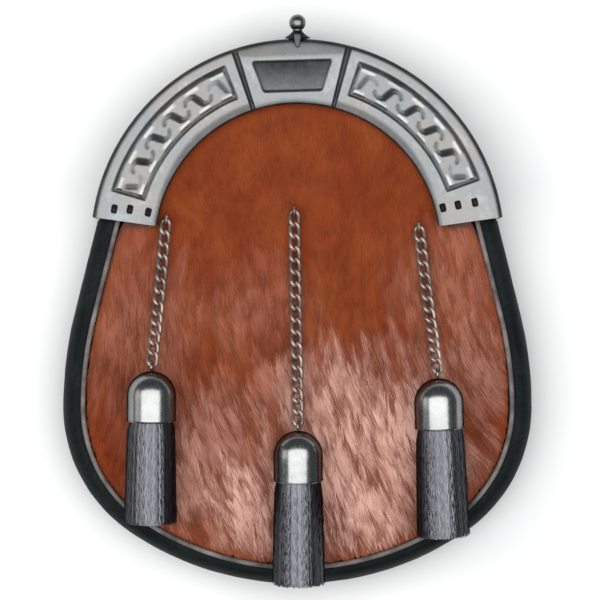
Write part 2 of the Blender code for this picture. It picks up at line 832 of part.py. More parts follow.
def hide_normal(x, y):
    """The direction that the hide's front faces, at one place on it."""
    step = NORMAL_STEP
    rise_x = hide_height(x + step, y) - hide_height(x - step, y)
    rise_y = hide_height(x, y + step) - hide_height(x, y - step)
    return Vector((-rise_x, -rise_y, 2.0 * step)).normalized()


def axis_frame(origin, direction, out=(0.0, 0.0, 1.0)):
    """A matrix whose Y runs along the direction and whose Z points out of the front."""
    y = direction.normalized()
    x = y.cross(Vector(out)).normalized()
    z = x.cross(y)
    columns = Matrix((x, y, z)).transposed()
    return Matrix.Translation(origin) @ columns.to_4x4()


def chain_path(eye, ring):
    """Points from the eye to the cap's ring: along the hide, then up to the ring."""
    eye, plan = Vector(eye), Vector(ring[:2])
    total = (plan - eye).length
    landing = hide_height(*plan) + CHAIN_CLEARANCE
    points = []
    for share in spread(0.0, 1.0, CHAIN_PATH_STEPS):
        x, y = eye.lerp(plan, share)
        left = total * (1.0 - share)
        lift = smooth_step(1.0 - left / CHAIN_RISE_LENGTH) * (ring[2] - landing)
        points.append(Vector((x, y, hide_height(x, y) + CHAIN_CLEARANCE + lift)))
    return points


def walk(points, distance):
    """The place and direction at a distance along a line of points."""
    for start, end in zip(points, points[1:]):
        length = (end - start).length
        if distance <= length or end is points[-1]:
            return start + (end - start) * (distance / length), (end - start).normalized()
        distance -= length
    return points[-1], (points[-1] - points[-2]).normalized()


def add_link(bm, place, half_length):
    """One oval link of round wire, twisted so that its neighbours pass through it flat."""
    rings = []
    for k in range(LINK_SECTIONS):
        turn = 2.0 * math.pi * k / LINK_SECTIONS
        centre = Vector(
            (
                LINK_HALF_WIDTH * math.cos(turn),
                half_length * math.sin(turn),
                LINK_TWIST * math.sin(2.0 * turn),
            )
        )
        ahead = Vector(
            (
                -LINK_HALF_WIDTH * math.sin(turn),
                half_length * math.cos(turn),
                2.0 * LINK_TWIST * math.cos(2.0 * turn),
            )
        ).normalized()
        side = ahead.cross(Vector((0.0, 0.0, 1.0))).normalized()
        up = side.cross(ahead)
        ring = []
        for s in range(WIRE_SIDES):
            angle = 2.0 * math.pi * s / WIRE_SIDES
            offset = (side * math.cos(angle) + up * math.sin(angle)) * LINK_WIRE
            ring.append(place @ (centre + offset))
        rings.append(ring)
    add_loft(bm, rings, closed=True)


def make_chain(frame, side, path):
    """Odd links joined to even ones: neighbours touch end to end, so the chain is one body."""
    length = sum((b - a).length for a, b in zip(path, path[1:]))
    bend = math.cos(math.pi / LINK_SECTIONS)
    count = round((length - LINK_OVERLAP_CENTRES) / LINK_PITCH)
    pitch = (length - LINK_OVERLAP_CENTRES) / count
    half_length = 0.5 * (pitch + LINK_OVERLAP_CENTRES) / bend
    halves = (bmesh.new(), bmesh.new())
    for k in range(count):
        middle = 0.5 * (pitch + LINK_OVERLAP_CENTRES) + k * pitch
        place, ahead = walk(path, middle)
        turned = axis_frame(place, ahead, hide_normal(place.x, place.y))
        add_link(halves[k % 2], turned, half_length)
    chain = add_object(f"chain_{side}", halves[0], "chrome", frame)
    others = add_object(f"chain_{side}_even", halves[1], "chrome", frame)
    add_boolean(chain, "UNION", others)


def make_chain_eye(frame, side, path):
    """A staple over the first link, in line with the chain, with its legs on the hide."""
    start, ahead = walk(path, 0.0)
    place = axis_frame(start, ahead, hide_normal(start.x, start.y))
    drop = CHAIN_CLEARANCE - STAPLE_LIFT
    centres = [Vector((0.0, -STAPLE_RADIUS, -drop))]
    for angle in spread(math.pi, 0.0, STAPLE_STEPS):
        turn = (STAPLE_RADIUS * math.cos(angle), STAPLE_RADIUS * math.sin(angle))
        centres.append(Vector((0.0, *turn)))
    centres.append(Vector((0.0, STAPLE_RADIUS, -drop)))
    bm = bmesh.new()
    rings = []
    for k, centre in enumerate(centres):
        before, after = centres[max(k - 1, 0)], centres[min(k + 1, len(centres) - 1)]
        along = (after - before).normalized()
        up = Vector((1.0, 0.0, 0.0)).cross(along)
        ring = []
        for s in range(WIRE_SIDES):
            angle = 2.0 * math.pi * s / WIRE_SIDES
            offset = Vector((math.cos(angle), 0.0, 0.0)) + up * math.sin(angle)
            ring.append(place @ (centre + offset * STAPLE_WIRE))
        rings.append(ring)
    add_loft(bm, rings)
    add_object(f"chain_eye_{side}", bm, "chrome", frame)


def cap_profile():
    """The bell's wall as (distance from the pole, radius), outside then inside."""
    outer, wall = CAP_RADIUS, CAP_WALL
    turns = [math.radians(90.0) * k / CAP_DOME_STEPS for k in range(1, CAP_DOME_STEPS + 1)]
    outside = [(outer * (1.0 - math.cos(a)), outer * math.sin(a)) for a in turns]
    outside.append((CAP_LENGTH, outer))
    inner = outer - wall
    inside = [(CAP_LENGTH, inner), (outer, inner)]
    inside += [(wall + inner * (1.0 - math.cos(a)), inner * math.sin(a)) for a in turns[-3::-2]]
    return outside + inside


def make_cap(frame, side, place):
    bm = bmesh.new()
    stations = [CAP_CROWN] + cap_profile()

    def around(along, across, out):
        return place @ Vector((across, along, out))

    add_turned(bm, stations, CAP_SIDES, around)
    cap = add_object(f"tassel_cap_{side}", bm, "chrome", frame)
    eye = bmesh.new()
    rings = []
    for k in range(CAP_EYE_SECTIONS):
        turn = 2.0 * math.pi * k / CAP_EYE_SECTIONS
        out = Vector((0.0, math.cos(turn), math.sin(turn)))
        centre = Vector((0.0, -CAP_EYE_RISE, 0.0)) + out * CAP_EYE_RADIUS
        ring = []
        for s in range(WIRE_SIDES):
            angle = 2.0 * math.pi * s / WIRE_SIDES
            offset = out * math.cos(angle) + Vector((math.sin(angle), 0.0, 0.0))
            ring.append(place @ (centre + offset * STAPLE_WIRE))
        rings.append(ring)
    add_loft(eye, rings, closed=True)
    add_boolean(cap, "UNION", add_object(f"cap_eye_{side}", eye, "chrome", frame))


def make_tassel(frame, side, place, length):
    """A head inside the cap, fused to locks that spread a little towards their tips."""
    bm = bmesh.new()
    corners = 2 * TASSEL_LOCKS
    stations = TASSEL_STATIONS + ((length, TASSEL_END_RADIUS, TASSEL_END_GROOVE),)
    rings = []
    for along, radius, groove in stations:
        ring = []
        for k in range(corners):
            angle = 2.0 * math.pi * k / corners + TASSEL_TWIST * along / length
            reach = radius * (1.0 - groove * (k % 2))
            across, out = reach * math.cos(angle), reach * math.sin(angle)
            ring.append(place @ Vector((across, along, out)))
        rings.append([bm.verts.new(point) for point in ring])
    for first, second in zip(rings, rings[1:]):
        for k in range(corners):
            n = (k + 1) % corners
            bm.faces.new((first[k], first[n], second[n], second[k]))
    bm.faces.new(rings[0])
    heart = bm.verts.new(place @ Vector((0.0, length - TASSEL_HEART_DEPTH, 0.0)))
    for k in range(TASSEL_LOCKS):
        angle = 2.0 * math.pi * k / TASSEL_LOCKS + TASSEL_TWIST
        along = length + LOCK_TIP_SPREAD * (0.5 + 0.5 * math.sin(LOCK_TIP_TURN * k))
        across, out = LOCK_TIP_RADIUS * math.cos(angle), LOCK_TIP_RADIUS * math.sin(angle)
        tip = bm.verts.new(place @ Vector((across, along, out)))
        last = rings[-1]
        left, middle, right = last[2 * k - 1], last[2 * k], last[(2 * k + 1) % corners]
        bm.faces.new((left, middle, tip))
        bm.faces.new((middle, right, tip))
        bm.faces.new((right, heart, tip))
        bm.faces.new((heart, left, tip))
    add_object(f"tassel_{side}", bm, "black_hair", frame)


def make_hangers(frame):
    for side, (eye, cap, end) in HANGERS.items():
        pole, direction, length = lying_axis(cap, end)
        place = axis_frame(pole, direction)
        ring = pole - direction * CAP_EYE_RISE
        path = chain_path(eye, ring)
        make_chain_eye(frame, side, path)
        make_chain(frame, side, path)
        make_cap(frame, side, place)
        make_tassel(frame, side, place, length - LOCK_TIP_SPREAD)


def main():
    clear_scene()
    frame = bpy.data.objects.new("pouch_frame", None)
    bpy.context.scene.collection.objects.link(frame)
    frame.location = (0.0, CANTLE_CENTRE_Y, 0.0)
    make_back_panel(frame)
    make_gusset(frame)
    make_front_panel(frame)
    make_piping(frame)
    make_strap_loops(frame)
    make_rear_frame(frame)
    make_cantle(frame)
    make_hinge_pins(frame)
    make_clasp_bracket(frame)
    make_clasp_lever(frame)
    make_hangers(frame)


main()
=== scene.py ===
"""Looks of a dress sporran lying on its back: hide, leather, cast cantle, chains and tassels.

Lengths are in metres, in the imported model's frame: z up out of the hide front, y up the
pouch. The cantle's arc is centred on CENTRE, and angles on it are from straight up.
"""

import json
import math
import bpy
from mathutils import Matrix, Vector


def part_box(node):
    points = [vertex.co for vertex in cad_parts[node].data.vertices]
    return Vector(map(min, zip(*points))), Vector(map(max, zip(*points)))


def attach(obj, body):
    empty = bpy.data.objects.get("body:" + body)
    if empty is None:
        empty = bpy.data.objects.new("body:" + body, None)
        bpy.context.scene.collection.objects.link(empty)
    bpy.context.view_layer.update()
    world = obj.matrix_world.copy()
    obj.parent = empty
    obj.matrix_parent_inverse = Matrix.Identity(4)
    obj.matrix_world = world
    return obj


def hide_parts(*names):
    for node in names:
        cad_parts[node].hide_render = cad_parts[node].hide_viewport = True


bl_info = {
    "name": "Dress sporran finish",
    "version": (1, 0, 0),
    "blender": (4, 5, 0),
    "location": "View3D > Sidebar > Sporran",
    "description": "Models and finishes the hide, leather, cantle, chains and tassels",
    "category": "Object",
}

import bmesh
import bpy
import numpy as np
from mathutils import Matrix, Vector, noise
from mathutils.bvhtree import BVHTree

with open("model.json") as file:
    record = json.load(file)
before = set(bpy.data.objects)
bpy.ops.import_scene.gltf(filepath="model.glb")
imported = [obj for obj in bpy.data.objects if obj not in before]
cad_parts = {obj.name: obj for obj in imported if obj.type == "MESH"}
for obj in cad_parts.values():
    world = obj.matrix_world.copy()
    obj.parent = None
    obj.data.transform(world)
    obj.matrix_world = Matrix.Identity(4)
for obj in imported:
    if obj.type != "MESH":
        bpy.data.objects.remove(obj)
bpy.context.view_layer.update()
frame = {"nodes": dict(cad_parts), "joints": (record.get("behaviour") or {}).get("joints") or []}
POUCH, LEVER = "pouch", "clasp_lever"  # bodies
SIDES = ("left", "centre", "right")
TURN = 2.0 * math.pi
UP = Vector((0.0, 0.0, 1.0))
IDENTITY = Matrix.Identity(4)

# Places read from the frame
CANTLE_OUTER = 0.0794
CENTRE = Vector((0.0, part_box("cantle")[1].y - CANTLE_OUTER, 0.0))
HALF_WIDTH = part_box("gusset")[1].x
SEAM_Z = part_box("gusset")[1].z

# Outline of the pouch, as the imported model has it
WIDEST_Y = -0.0617
BOTTOM_RADIUS = 0.1144
CORNER_RADIUS = 0.0582
SIDE_RADIUS = 0.1484
SIDE_LEAN = math.radians(14.0)
STRAIGHT_TOP_Y = 0.0094
OUTLINE_STEPS = (26, 34, 16, 18)  # in the bottom, corner and side arcs and the straight run
SEAM_INSETS = (0.0064, 0.0077)  # at the bottom and at the sides


# -------------------------------- properties


def length_value(label, about, default):
    return bpy.props.FloatProperty(
        name=label, description=about, default=default, min=0.0, unit="LENGTH", precision=4
    )


def colour_value(label, about, default):
    return bpy.props.FloatVectorProperty(
        name=label, description=about, default=default, min=0.0, max=1.0, subtype="COLOR", size=3
    )


class SporranSizes(bpy.types.PropertyGroup):
    hair_length: length_value("Hair length", "Length of the hide's hair", 0.0085)
    hair_width: length_value("Hair width", "Width of a strand of the hide's hair", 0.00046)
    pile_depth: length_value("Pile depth", "How far the skin lies under the hair's tips", 0.0013)
    knot_depth: length_value("Knot depth", "Depth of the grooves of the knot", 0.00085)
    stitch_length: length_value("Stitch length", "Length of a stitch on the seam", 0.0041)
    stitch_pitch: length_value("Stitch pitch", "Distance from stitch to stitch", 0.0057)
    tassel_strand: length_value("Tassel strand", "Half-width of a strand of a tassel", 0.00030)


class SporranColours(bpy.types.PropertyGroup):
    # Also the painted shade at the hair's roots and on the skin between the hairs
    hair_deep_and_shade: colour_value("Deep hair", "Hair between the locks", (0.130, 0.034, 0.016))
    hair_russet: colour_value("Russet hair", "Hair of the chest", (0.208, 0.0345, 0.0084))
    hair_orange: colour_value("Orange hair", "Patches on the chest", (0.275, 0.0590, 0.0140))
    # Painted sheen: a pale pink that stands in for the light's sheen on the belly's hair
    hair_painted_sheen: colour_value("Pale hair", "Tips of the belly's hair", (0.700, 0.420, 0.345))
    leather: colour_value("Leather", "Black leather", (0.0055, 0.0072, 0.0072))
    thread: colour_value("Thread", "Piping and its stitches", (0.128, 0.112, 0.106))
    silver: colour_value("Silver", "Raised silver of the cantle", (0.430, 0.421, 0.421))
    patina: colour_value("Patina", "Silver in the recesses", (0.018, 0.019, 0.018))
    # Its warm tint is partly a painted reflection of the russet hide
    chain: colour_value("Chain metal", "Worn plating of the chains", (0.430, 0.345, 0.305))
    cap: colour_value("Cap metal", "Dark plating of the caps", (0.300, 0.305, 0.300))
    steel: colour_value("Steel", "Rear frame and pins", (0.118, 0.120, 0.124))
    black_hair: colour_value("Black hair", "Hair of the tassels", (0.078, 0.078, 0.087))
    floor: colour_value("Floor", "The surface that the pouch lies on", (0.800, 0.800, 0.800))


def sizes():
    return bpy.context.scene.sporran_sizes


def colours():
    return bpy.context.scene.sporran_colours


# -------------------------------- materials

# Scales of the textures, in cells a metre
LEATHER_SCALES = (1350.0, 260.0, 45.0)  # pebbles, creases, wear
THREAD_SCALES = (2600.0, 120.0)  # fibres, soiling
HAIR_SCALES = (75.0, 36.0)  # orange patches, clouds in the painted sheen
SKIN_SCALE = 300.0
SILVER_SCALES = (150.0, 900.0, 45.0)  # clouds, specks, films
METAL_SCALES = (130.0, 420.0)  # clouds, hairlines
FLOOR_SCALE = 4.0
PATCH_STRETCH = (1.0, 0.5, 1.0)
HAIRLINE_STRETCH = (9.0, 1.0, 1.0)

COARSE, FINE = 2.0, 4.0  # octaves of a texture's detail
BROKEN = 0.6  # roughness of the textures that are most broken up
PATCH_BROKEN = 0.55

# How a texture is spread over a mix: its low and high values, and what they turn into
LEATHER_WORN = (0.35, 0.75)
LEATHER_GLOSS = (0.3, 0.7, 0.46, 0.62)
THREAD_SOILED = (0.35, 0.68)
HAIR_PATCHED = (0.36, 0.64)
HAIR_CLOUDED = (0.34, 0.56, 0.75, 1.0)
# share of the painted sheen by the lock's tone
SHEEN_BY_LOCK = (0.05, 0.70, 0.30, 1.0)
DARK_LOCKS = (0.0, 0.65, 0.62, 0.0)
# Painted shade: the hair darkens towards its roots, deep in the pile
PAINTED_ROOT_SHADE = (0.0, 0.5, 0.20, 0.0)
LOOSE_HAIR = (0.040, -0.030, 0.36, 1.0)  # from one y down to another
SKIN_MOTTLED = (0.35, 0.65)
SILVER_STAINED = (0.3, 0.7, -0.08, 0.08)
SILVER_BARE = (0.10, 0.66)
SILVER_RUBBED = (0.72, 1.02)
SILVER_FILMED = (0.38, 0.62)
SILVER_GLOSS = (0.7, 1.3, 0.26, 0.44)
SUNK_GLOSS = (0.15, 0.60, 0.28, 0.0)
METAL_CLOUDED = (0.42, 0.74)
METAL_SCRATCHED = (0.3, 0.7)
METAL_GLOSS = (0.8, 1.4)  # of the metal's roughness
FLOOR_CLOUDED = (0.3, 0.7)

# Second shades, as shares of the first colour
WORN_SHADE = 2.2
THREAD_SHADES = (0.45, 1.55)
SKIN_SHADE = 0.6
SILVER_SHADE = 0.40
TASSEL_SHADE = 1.9
FLOOR_SHADE = 0.97
METAL_DULLING = 0.45  # where the tarnish is thickest
CHAIN_DULLING = 0.5
CAP_DULLING = 0.8
WARM_FILM = (1.0, 0.985, 0.955)  # faint colours of the tarnish
COOL_FILM = (0.88, 0.96, 1.0)

ROUGHNESS = {
    "leather": 0.55, "thread": 0.62, "hair": 0.55, "skin": 0.75, "silver": 0.34,
    "steel": 0.36, "chain": 0.46, "cap": 0.215, "tassel": 0.30, "floor": 0.85,
}
LEATHER_SPECULAR = 0.045
HAIR_SPECULAR = 0.12
TASSEL_TINT = (0.05, 0.05, 0.05, 1.0)
LEATHER_BUMP = (0.35, 0.00022)  # strength and depth
THREAD_BUMP = (0.5, 0.0001)
SILVER_BUMP = (0.12, 0.00012)
MIX_COLOURS = (6, 7)  # numbers of the mix node's colour inputs, and of its colour output
MIX_RESULT = 2


def add_node(tree, kind, inputs=None, **settings):
    """A node whose inputs are linked to a socket or set to a value."""
    made = tree.nodes.new(kind)
    for key, value in settings.items():
        setattr(made, key, value)
    for key, value in (inputs or {}).items():
        if isinstance(value, bpy.types.NodeSocket):
            tree.links.new(value, made.inputs[key])
        else:
            made.inputs[key].default_value = value
    return made


def start_material(name, colour, roughness, metallic=0.0, **sockets):
    material = bpy.data.materials.new(name)
    material.use_nodes = True
    shader = material.node_tree.nodes["Principled BSDF"]
    values = {"Base_Color": (*colour, 1.0), "Roughness": roughness, "Metallic": metallic}
    for key, value in {**values, **sockets}.items():
        shader.inputs[key.replace("_", " ")].default_value = value
    return material, material.node_tree, shader


def feed(tree, shader, colour, roughness=None):
    """Links the shader's colour to a socket, and its roughness if there is one for it."""
    for key, value in (("Base Color", colour), ("Roughness", roughness)):
        if value is not None:
            tree.links.new(value, shader.inputs[key])


def tinted(colour, share):
    return tuple(share * channel for channel in colour)


def object_place(tree, scale=(1.0, 1.0, 1.0)):
    place = add_node(tree, "ShaderNodeTexCoord").outputs["Object"]
    return add_node(tree, "ShaderNodeMapping", {"Vector": place, "Scale": scale}).outputs[0]


def noise_at(tree, place, scale, detail=3.0, roughness=0.5):
    settings = {"Vector": place, "Scale": scale, "Detail": detail, "Roughness": roughness}
    return add_node(tree, "ShaderNodeTexNoise", settings).outputs["Fac"]


def attribute(tree, name):
    return add_node(tree, "ShaderNodeAttribute", attribute_name=name).outputs["Fac"]


def remap(tree, value, low, high, new_low=0.0, new_high=1.0):
    keys = ("Value", "From Min", "From Max", "To Min", "To Max")
    inputs = dict(zip(keys, (value, low, high, new_low, new_high)))
    return add_node(tree, "ShaderNodeMapRange", inputs, clamp=True).outputs["Result"]


def combine(tree, operation, first, second):
    made = add_node(tree, "ShaderNodeMath", {0: first, 1: second}, operation=operation)
    return made.outputs[0]


def blend_colours(tree, share, first, second, kind="MIX"):
    """Mixes two colours, each a triple or a socket."""
    inputs = {0: share}
    for key, value in zip(MIX_COLOURS, (first, second)):
        inputs[key] = value if isinstance(value, bpy.types.NodeSocket) else (*value, 1.0)
    made = add_node(tree, "ShaderNodeMix", inputs, data_type="RGBA", blend_type=kind)
    return made.outputs[MIX_RESULT]


def add_bump(tree, shader, height, strength, distance):
    settings = {"Height": height, "Strength": strength, "Distance": distance}
    bump = add_node(tree, "ShaderNodeBump", settings)
    tree.links.new(bump.outputs["Normal"], shader.inputs["Normal"])


def leather_material():
    """Pebbled black leather, a little worn where the grain stands up."""
    colour = colours().leather
    material, tree, shader = start_material(
        "grained_black_leather", colour, ROUGHNESS["leather"], Specular_IOR_Level=LEATHER_SPECULAR
    )
    place = object_place(tree)
    pebble_scale, crease_scale, wear_scale = LEATHER_SCALES
    pebbles = add_node(tree, "ShaderNodeTexVoronoi", {"Vector": place, "Scale": pebble_scale})
    creases = noise_at(tree, place, crease_scale, FINE, BROKEN)
    wear = noise_at(tree, place, wear_scale, COARSE)
    grain = combine(tree, "ADD", pebbles.outputs["Distance"], creases)
    share = remap(tree, combine(tree, "MULTIPLY", grain, wear), *LEATHER_WORN)
    mixed = blend_colours(tree, share, colour, tinted(colour, WORN_SHADE))
    feed(tree, shader, mixed, remap(tree, wear, *LEATHER_GLOSS))
    add_bump(tree, shader, grain, *LEATHER_BUMP)
    return material


def thread_material():
    colour = colours().thread
    material, tree, shader = start_material("grey_thread", colour, ROUGHNESS["thread"])
    place = object_place(tree)
    fibre_scale, soil_scale = THREAD_SCALES
    fibres = noise_at(tree, place, fibre_scale, COARSE)
    soiled = noise_at(tree, place, soil_scale)
    share = remap(tree, soiled, *THREAD_SOILED)
    dark, light = [tinted(colour, shade) for shade in THREAD_SHADES]
    feed(tree, shader, blend_colours(tree, share, dark, light))
    add_bump(tree, shader, fibres, *THREAD_BUMP)
    return material


def hair_material():
    """Russet hair: even on the chest, streaked low on the belly, where a painted sheen makes it
    paler; painted shade at the roots and near the sides' piping.
    """
    paint = colours()
    material, tree, shader = start_material(
        "russet_hair", paint.hair_russet, ROUGHNESS["hair"], Specular_IOR_Level=HAIR_SPECULAR
    )
    place = object_place(tree)
    height = add_node(tree, "ShaderNodeSeparateXYZ", {"Vector": place}).outputs["Y"]
    # lock_tone_and_shadow holds each lock's random tone with the painted shadow by the sides'
    # piping
    lock, sheen_patch, tip = [
        attribute(tree, name) for name in ("lock_tone_and_shadow", "painted_sheen", "toward_tip")
    ]
    patch_scale, cloud_scale = HAIR_SCALES
    stretched = object_place(tree, PATCH_STRETCH)
    patches = noise_at(tree, stretched, patch_scale, roughness=PATCH_BROKEN)
    clouds = noise_at(tree, place, cloud_scale, COARSE)
    share = remap(tree, patches, *HAIR_PATCHED)
    ground = blend_colours(tree, share, paint.hair_russet, paint.hair_orange)
    # Painted sheen: the hair is mixed towards the pale colour where the sheen areas lie
    sheen_share = combine(tree, "MULTIPLY", sheen_patch, remap(tree, clouds, *HAIR_CLOUDED))
    sheen_share = combine(tree, "MULTIPLY", sheen_share, remap(tree, lock, *SHEEN_BY_LOCK))
    light = blend_colours(tree, sheen_share, ground, paint.hair_painted_sheen)
    loose = remap(tree, height, *LOOSE_HAIR)
    # Painted shade towards the hair's roots
    root_shade = remap(tree, tip, *PAINTED_ROOT_SHADE)
    contrast = remap(tree, lock, *DARK_LOCKS)
    share = combine(tree, "MULTIPLY", combine(tree, "ADD", root_shade, contrast), loose)
    feed(tree, shader, blend_colours(tree, share, light, paint.hair_deep_and_shade))
    return material


def skin_material():
    # The skin takes the deep hair's colour, dark as painted shade in the gaps between the hairs
    colour = colours().hair_deep_and_shade
    material, tree, shader = start_material("hide_skin", colour, ROUGHNESS["skin"])
    patches = noise_at(tree, object_place(tree), SKIN_SCALE, FINE)
    share = remap(tree, patches, *SKIN_MOTTLED)
    feed(tree, shader, blend_colours(tree, share, tinted(colour, SKIN_SHADE), colour))
    return material


def silver_material(name):
    """Cast silver, black where the cast lies low, with tarnish and rubbed highs; its tone
    attribute also carries painted shade and highlights.
    """
    paint = colours()
    material, tree, shader = start_material(name, paint.silver, ROUGHNESS["silver"], 1.0)
    place = object_place(tree)
    relief_and_painted_light = attribute(tree, "relief_and_painted_light")
    cloud_scale, speck_scale, film_scale = SILVER_SCALES
    clouds = noise_at(tree, place, cloud_scale, FINE, BROKEN)
    specks = noise_at(tree, place, speck_scale, roughness=BROKEN)
    stained = combine(tree, "ADD", relief_and_painted_light, remap(tree, clouds, *SILVER_STAINED))
    share = remap(tree, stained, *SILVER_BARE)
    base = blend_colours(tree, share, paint.patina, tinted(paint.silver, SILVER_SHADE))
    mixed = blend_colours(tree, remap(tree, stained, *SILVER_RUBBED), base, paint.silver)
    films = remap(tree, noise_at(tree, place, film_scale, COARSE), *SILVER_FILMED)
    film = blend_colours(tree, films, WARM_FILM, COOL_FILM)
    rough = remap(tree, combine(tree, "ADD", specks, clouds), *SILVER_GLOSS)
    rough = combine(tree, "ADD", rough, remap(tree, relief_and_painted_light, *SUNK_GLOSS))
    feed(tree, shader, blend_colours(tree, 1.0, mixed, film, "MULTIPLY"), rough)
    add_bump(tree, shader, specks, *SILVER_BUMP)
    return material


def metal_material(name, colour, roughness, dulling=METAL_DULLING, edge=1.0):
    """Smooth metal with a faint tarnish in clouds and hairline scratches."""
    tint = (edge, edge, edge, 1.0)
    material, tree, shader = start_material(name, colour, roughness, 1.0, Specular_Tint=tint)
    cloud_scale, line_scale = METAL_SCALES
    clouds = noise_at(tree, object_place(tree), cloud_scale, FINE, BROKEN)
    hairlines = noise_at(tree, object_place(tree, HAIRLINE_STRETCH), line_scale, COARSE)
    share = remap(tree, clouds, *METAL_CLOUDED)
    gloss = [roughness * part for part in METAL_GLOSS]
    rough = remap(tree, hairlines, *METAL_SCRATCHED, *gloss)
    feed(tree, shader, blend_colours(tree, share, colour, tinted(colour, dulling)), rough)
    return material


def tassel_material():
    """Coarse black hair, glossy enough to carry a band of light down each tassel."""
    colour = colours().black_hair
    material, tree, shader = start_material(
        "tassel_hair", colour, ROUGHNESS["tassel"], 1.0, Specular_Tint=TASSEL_TINT
    )
    share = remap(tree, attribute(tree, "strand_shade"), 0.0, 1.0)
    feed(tree, shader, blend_colours(tree, share, colour, tinted(colour, TASSEL_SHADE)))
    return material


def floor_material():
    colour = colours().floor
    material, tree, shader = start_material("pale_floor", colour, ROUGHNESS["floor"])
    share = remap(tree, noise_at(tree, object_place(tree), FLOOR_SCALE), *FLOOR_CLOUDED)
    feed(tree, shader, blend_colours(tree, share, tinted(colour, FLOOR_SHADE), colour))
    return material


# -------------------------------- mesh helpers

SHARP_ANGLE = math.radians(40.0)
WELD = 1e-6
NODE_WELD = 1e-5
LEAST_ACROSS = 1e-6  # below this a path runs straight up, and it takes the frame's x


def spread(first, last, steps):
    return [first + (last - first) * k / steps for k in range(steps + 1)]


def polar(radius, angle, z=0.0):
    return CENTRE + Vector((radius * math.sin(angle), radius * math.cos(angle), z))


def smooth_step(value):
    value = np.clip(value, 0.0, 1.0)
    return value * value * (3.0 - 2.0 * value)


def lerp(pair, share):
    return pair[0] + (pair[1] - pair[0]) * share


def within(value, low, high, edge):
    """1 between low and high, falling to 0 over the edge on either side."""
    return smooth_step((value - low) / edge) * smooth_step((high - value) / edge)


def placed(origin, *axes):
    """The matrix at a place whose x, y and z run along three axes."""
    return Matrix.Translation(origin) @ Matrix(axes).transposed().to_4x4()


def link_piece(mesh, name, material, stands_for=(), body=POUCH):
    """Makes the mesh a piece at the origin that rides on a body of the frame."""
    mesh.name = name
    mesh.materials.clear()
    mesh.materials.append(material)
    piece = bpy.data.objects.new(name, mesh)
    bpy.context.scene.collection.objects.link(piece)
    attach(piece, body)
    if stands_for:
        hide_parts(*stands_for)


def as_mesh(bm):
    mesh = bpy.data.meshes.new("piece")
    bm.to_mesh(mesh)
    bm.free()
    return mesh


def finish_mesh(bm, sharp=SHARP_ANGLE, weld=WELD):
    """A mesh with its doubles merged, its normals turned out and its edges shaded."""
    bmesh.ops.remove_doubles(bm, verts=bm.verts, dist=weld)
    bmesh.ops.recalc_face_normals(bm, faces=bm.faces)
    mesh = as_mesh(bm)
    mesh.shade_smooth()
    mesh.set_sharp_from_angle(angle=sharp)
    return mesh


def with_modifier(mesh, kind, **settings):
    """The mesh after one modifier has been applied to it, shaded smooth."""
    holder = bpy.data.objects.new("passing", mesh)
    bpy.context.scene.collection.objects.link(holder)
    modifier = holder.modifiers.new("passing", kind)
    for key, value in settings.items():
        setattr(modifier, key, value)
    graph = bpy.context.evaluated_depsgraph_get()
    made = bpy.data.meshes.new_from_object(holder.evaluated_get(graph))
    bpy.data.objects.remove(holder)
    made.shade_smooth()
    return made


def verts_in(items):
    return [item for item in items if isinstance(item, bmesh.types.BMVert)]


def moved_ring(bm, edges, matrix=IDENTITY):
    """Extrudes a chain of edges and moves the new one; returns the new edges."""
    made = bmesh.ops.extrude_edge_only(bm, edges=edges)["geom"]
    verts = verts_in(made)
    bmesh.ops.transform(bm, matrix=matrix, verts=verts)
    edges = [item for item in made if isinstance(item, bmesh.types.BMEdge)]
    return [edge for edge in edges if all(vert in verts for vert in edge.verts)]


def close_holes(bm):
    edges = [edge for edge in bm.edges if edge.is_boundary]
    bmesh.ops.holes_fill(bm, edges=edges, sides=0)


def round_off(bm, geom, offset, segments=2, affect="EDGES"):
    bmesh.ops.bevel(bm, geom=geom, offset=offset, segments=segments, profile=0.5,
                    affect=affect, material=-1)


def add_plate(bm, outline, depth):
    """A face over an outline and a second one raised by the depth, joined by walls."""
    face = bm.faces.new([bm.verts.new(point) for point in outline])
    made = bmesh.ops.extrude_face_region(bm, geom=[face], use_keep_orig=True)["geom"]
    bmesh.ops.translate(bm, vec=UP * depth, verts=verts_in(made))


def path_frames(points, up=UP, closed=False):
    """A matrix at each point: its z runs along the path and its x stays level."""
    frames = []
    count = len(points)
    for k, point in enumerate(points):
        after = points[(k + 1) % count] if closed else points[min(k + 1, count - 1)]
        before = points[k - 1] if closed else points[max(k - 1, 0)]
        along = (after - before).normalized()
        across = up.cross(along)
        across = across.normalized() if across.length > LEAST_ACROSS else Vector((1.0, 0.0, 0.0))
        frames.append(placed(point, across, along.cross(across), along))
    return frames


def add_tube(bm, frames, radius, sides, closed=False):
    """Sweeps a circle through the frames, with its ends closed or joined up."""
    made = bmesh.ops.create_circle(
        bm, cap_ends=False, radius=radius, segments=sides, matrix=frames[0]
    )
    first = list({edge for vert in made["verts"] for edge in vert.link_edges})
    edges, place = first, frames[0]
    for target in frames[1:]:
        edges = moved_ring(bm, edges, target @ place.inverted())
        place = target
    if closed:
        bmesh.ops.bridge_loops(bm, edges=first + edges)
    else:
        for ring in (first, edges):
            bmesh.ops.holes_fill(bm, edges=ring, sides=0)


def add_spun(bm, rows, steps, matrix, axis=(0.0, 1.0, 0.0)):
    """Turns rows of x and y through a full circle about an axis and moves the new part."""
    before = set(bm.verts)
    verts = [bm.verts.new((*row, 0.0)) for row in rows]
    edges = [bm.edges.new(pair) for pair in zip(verts, verts[1:])]
    bmesh.ops.spin(bm, geom=verts + edges, cent=(0.0, 0.0, 0.0), axis=axis, angle=TURN,
                   steps=steps, use_merge=True, use_duplicate=False)
    made = [vert for vert in bm.verts if vert not in before]
    bmesh.ops.transform(bm, matrix=matrix, verts=made)


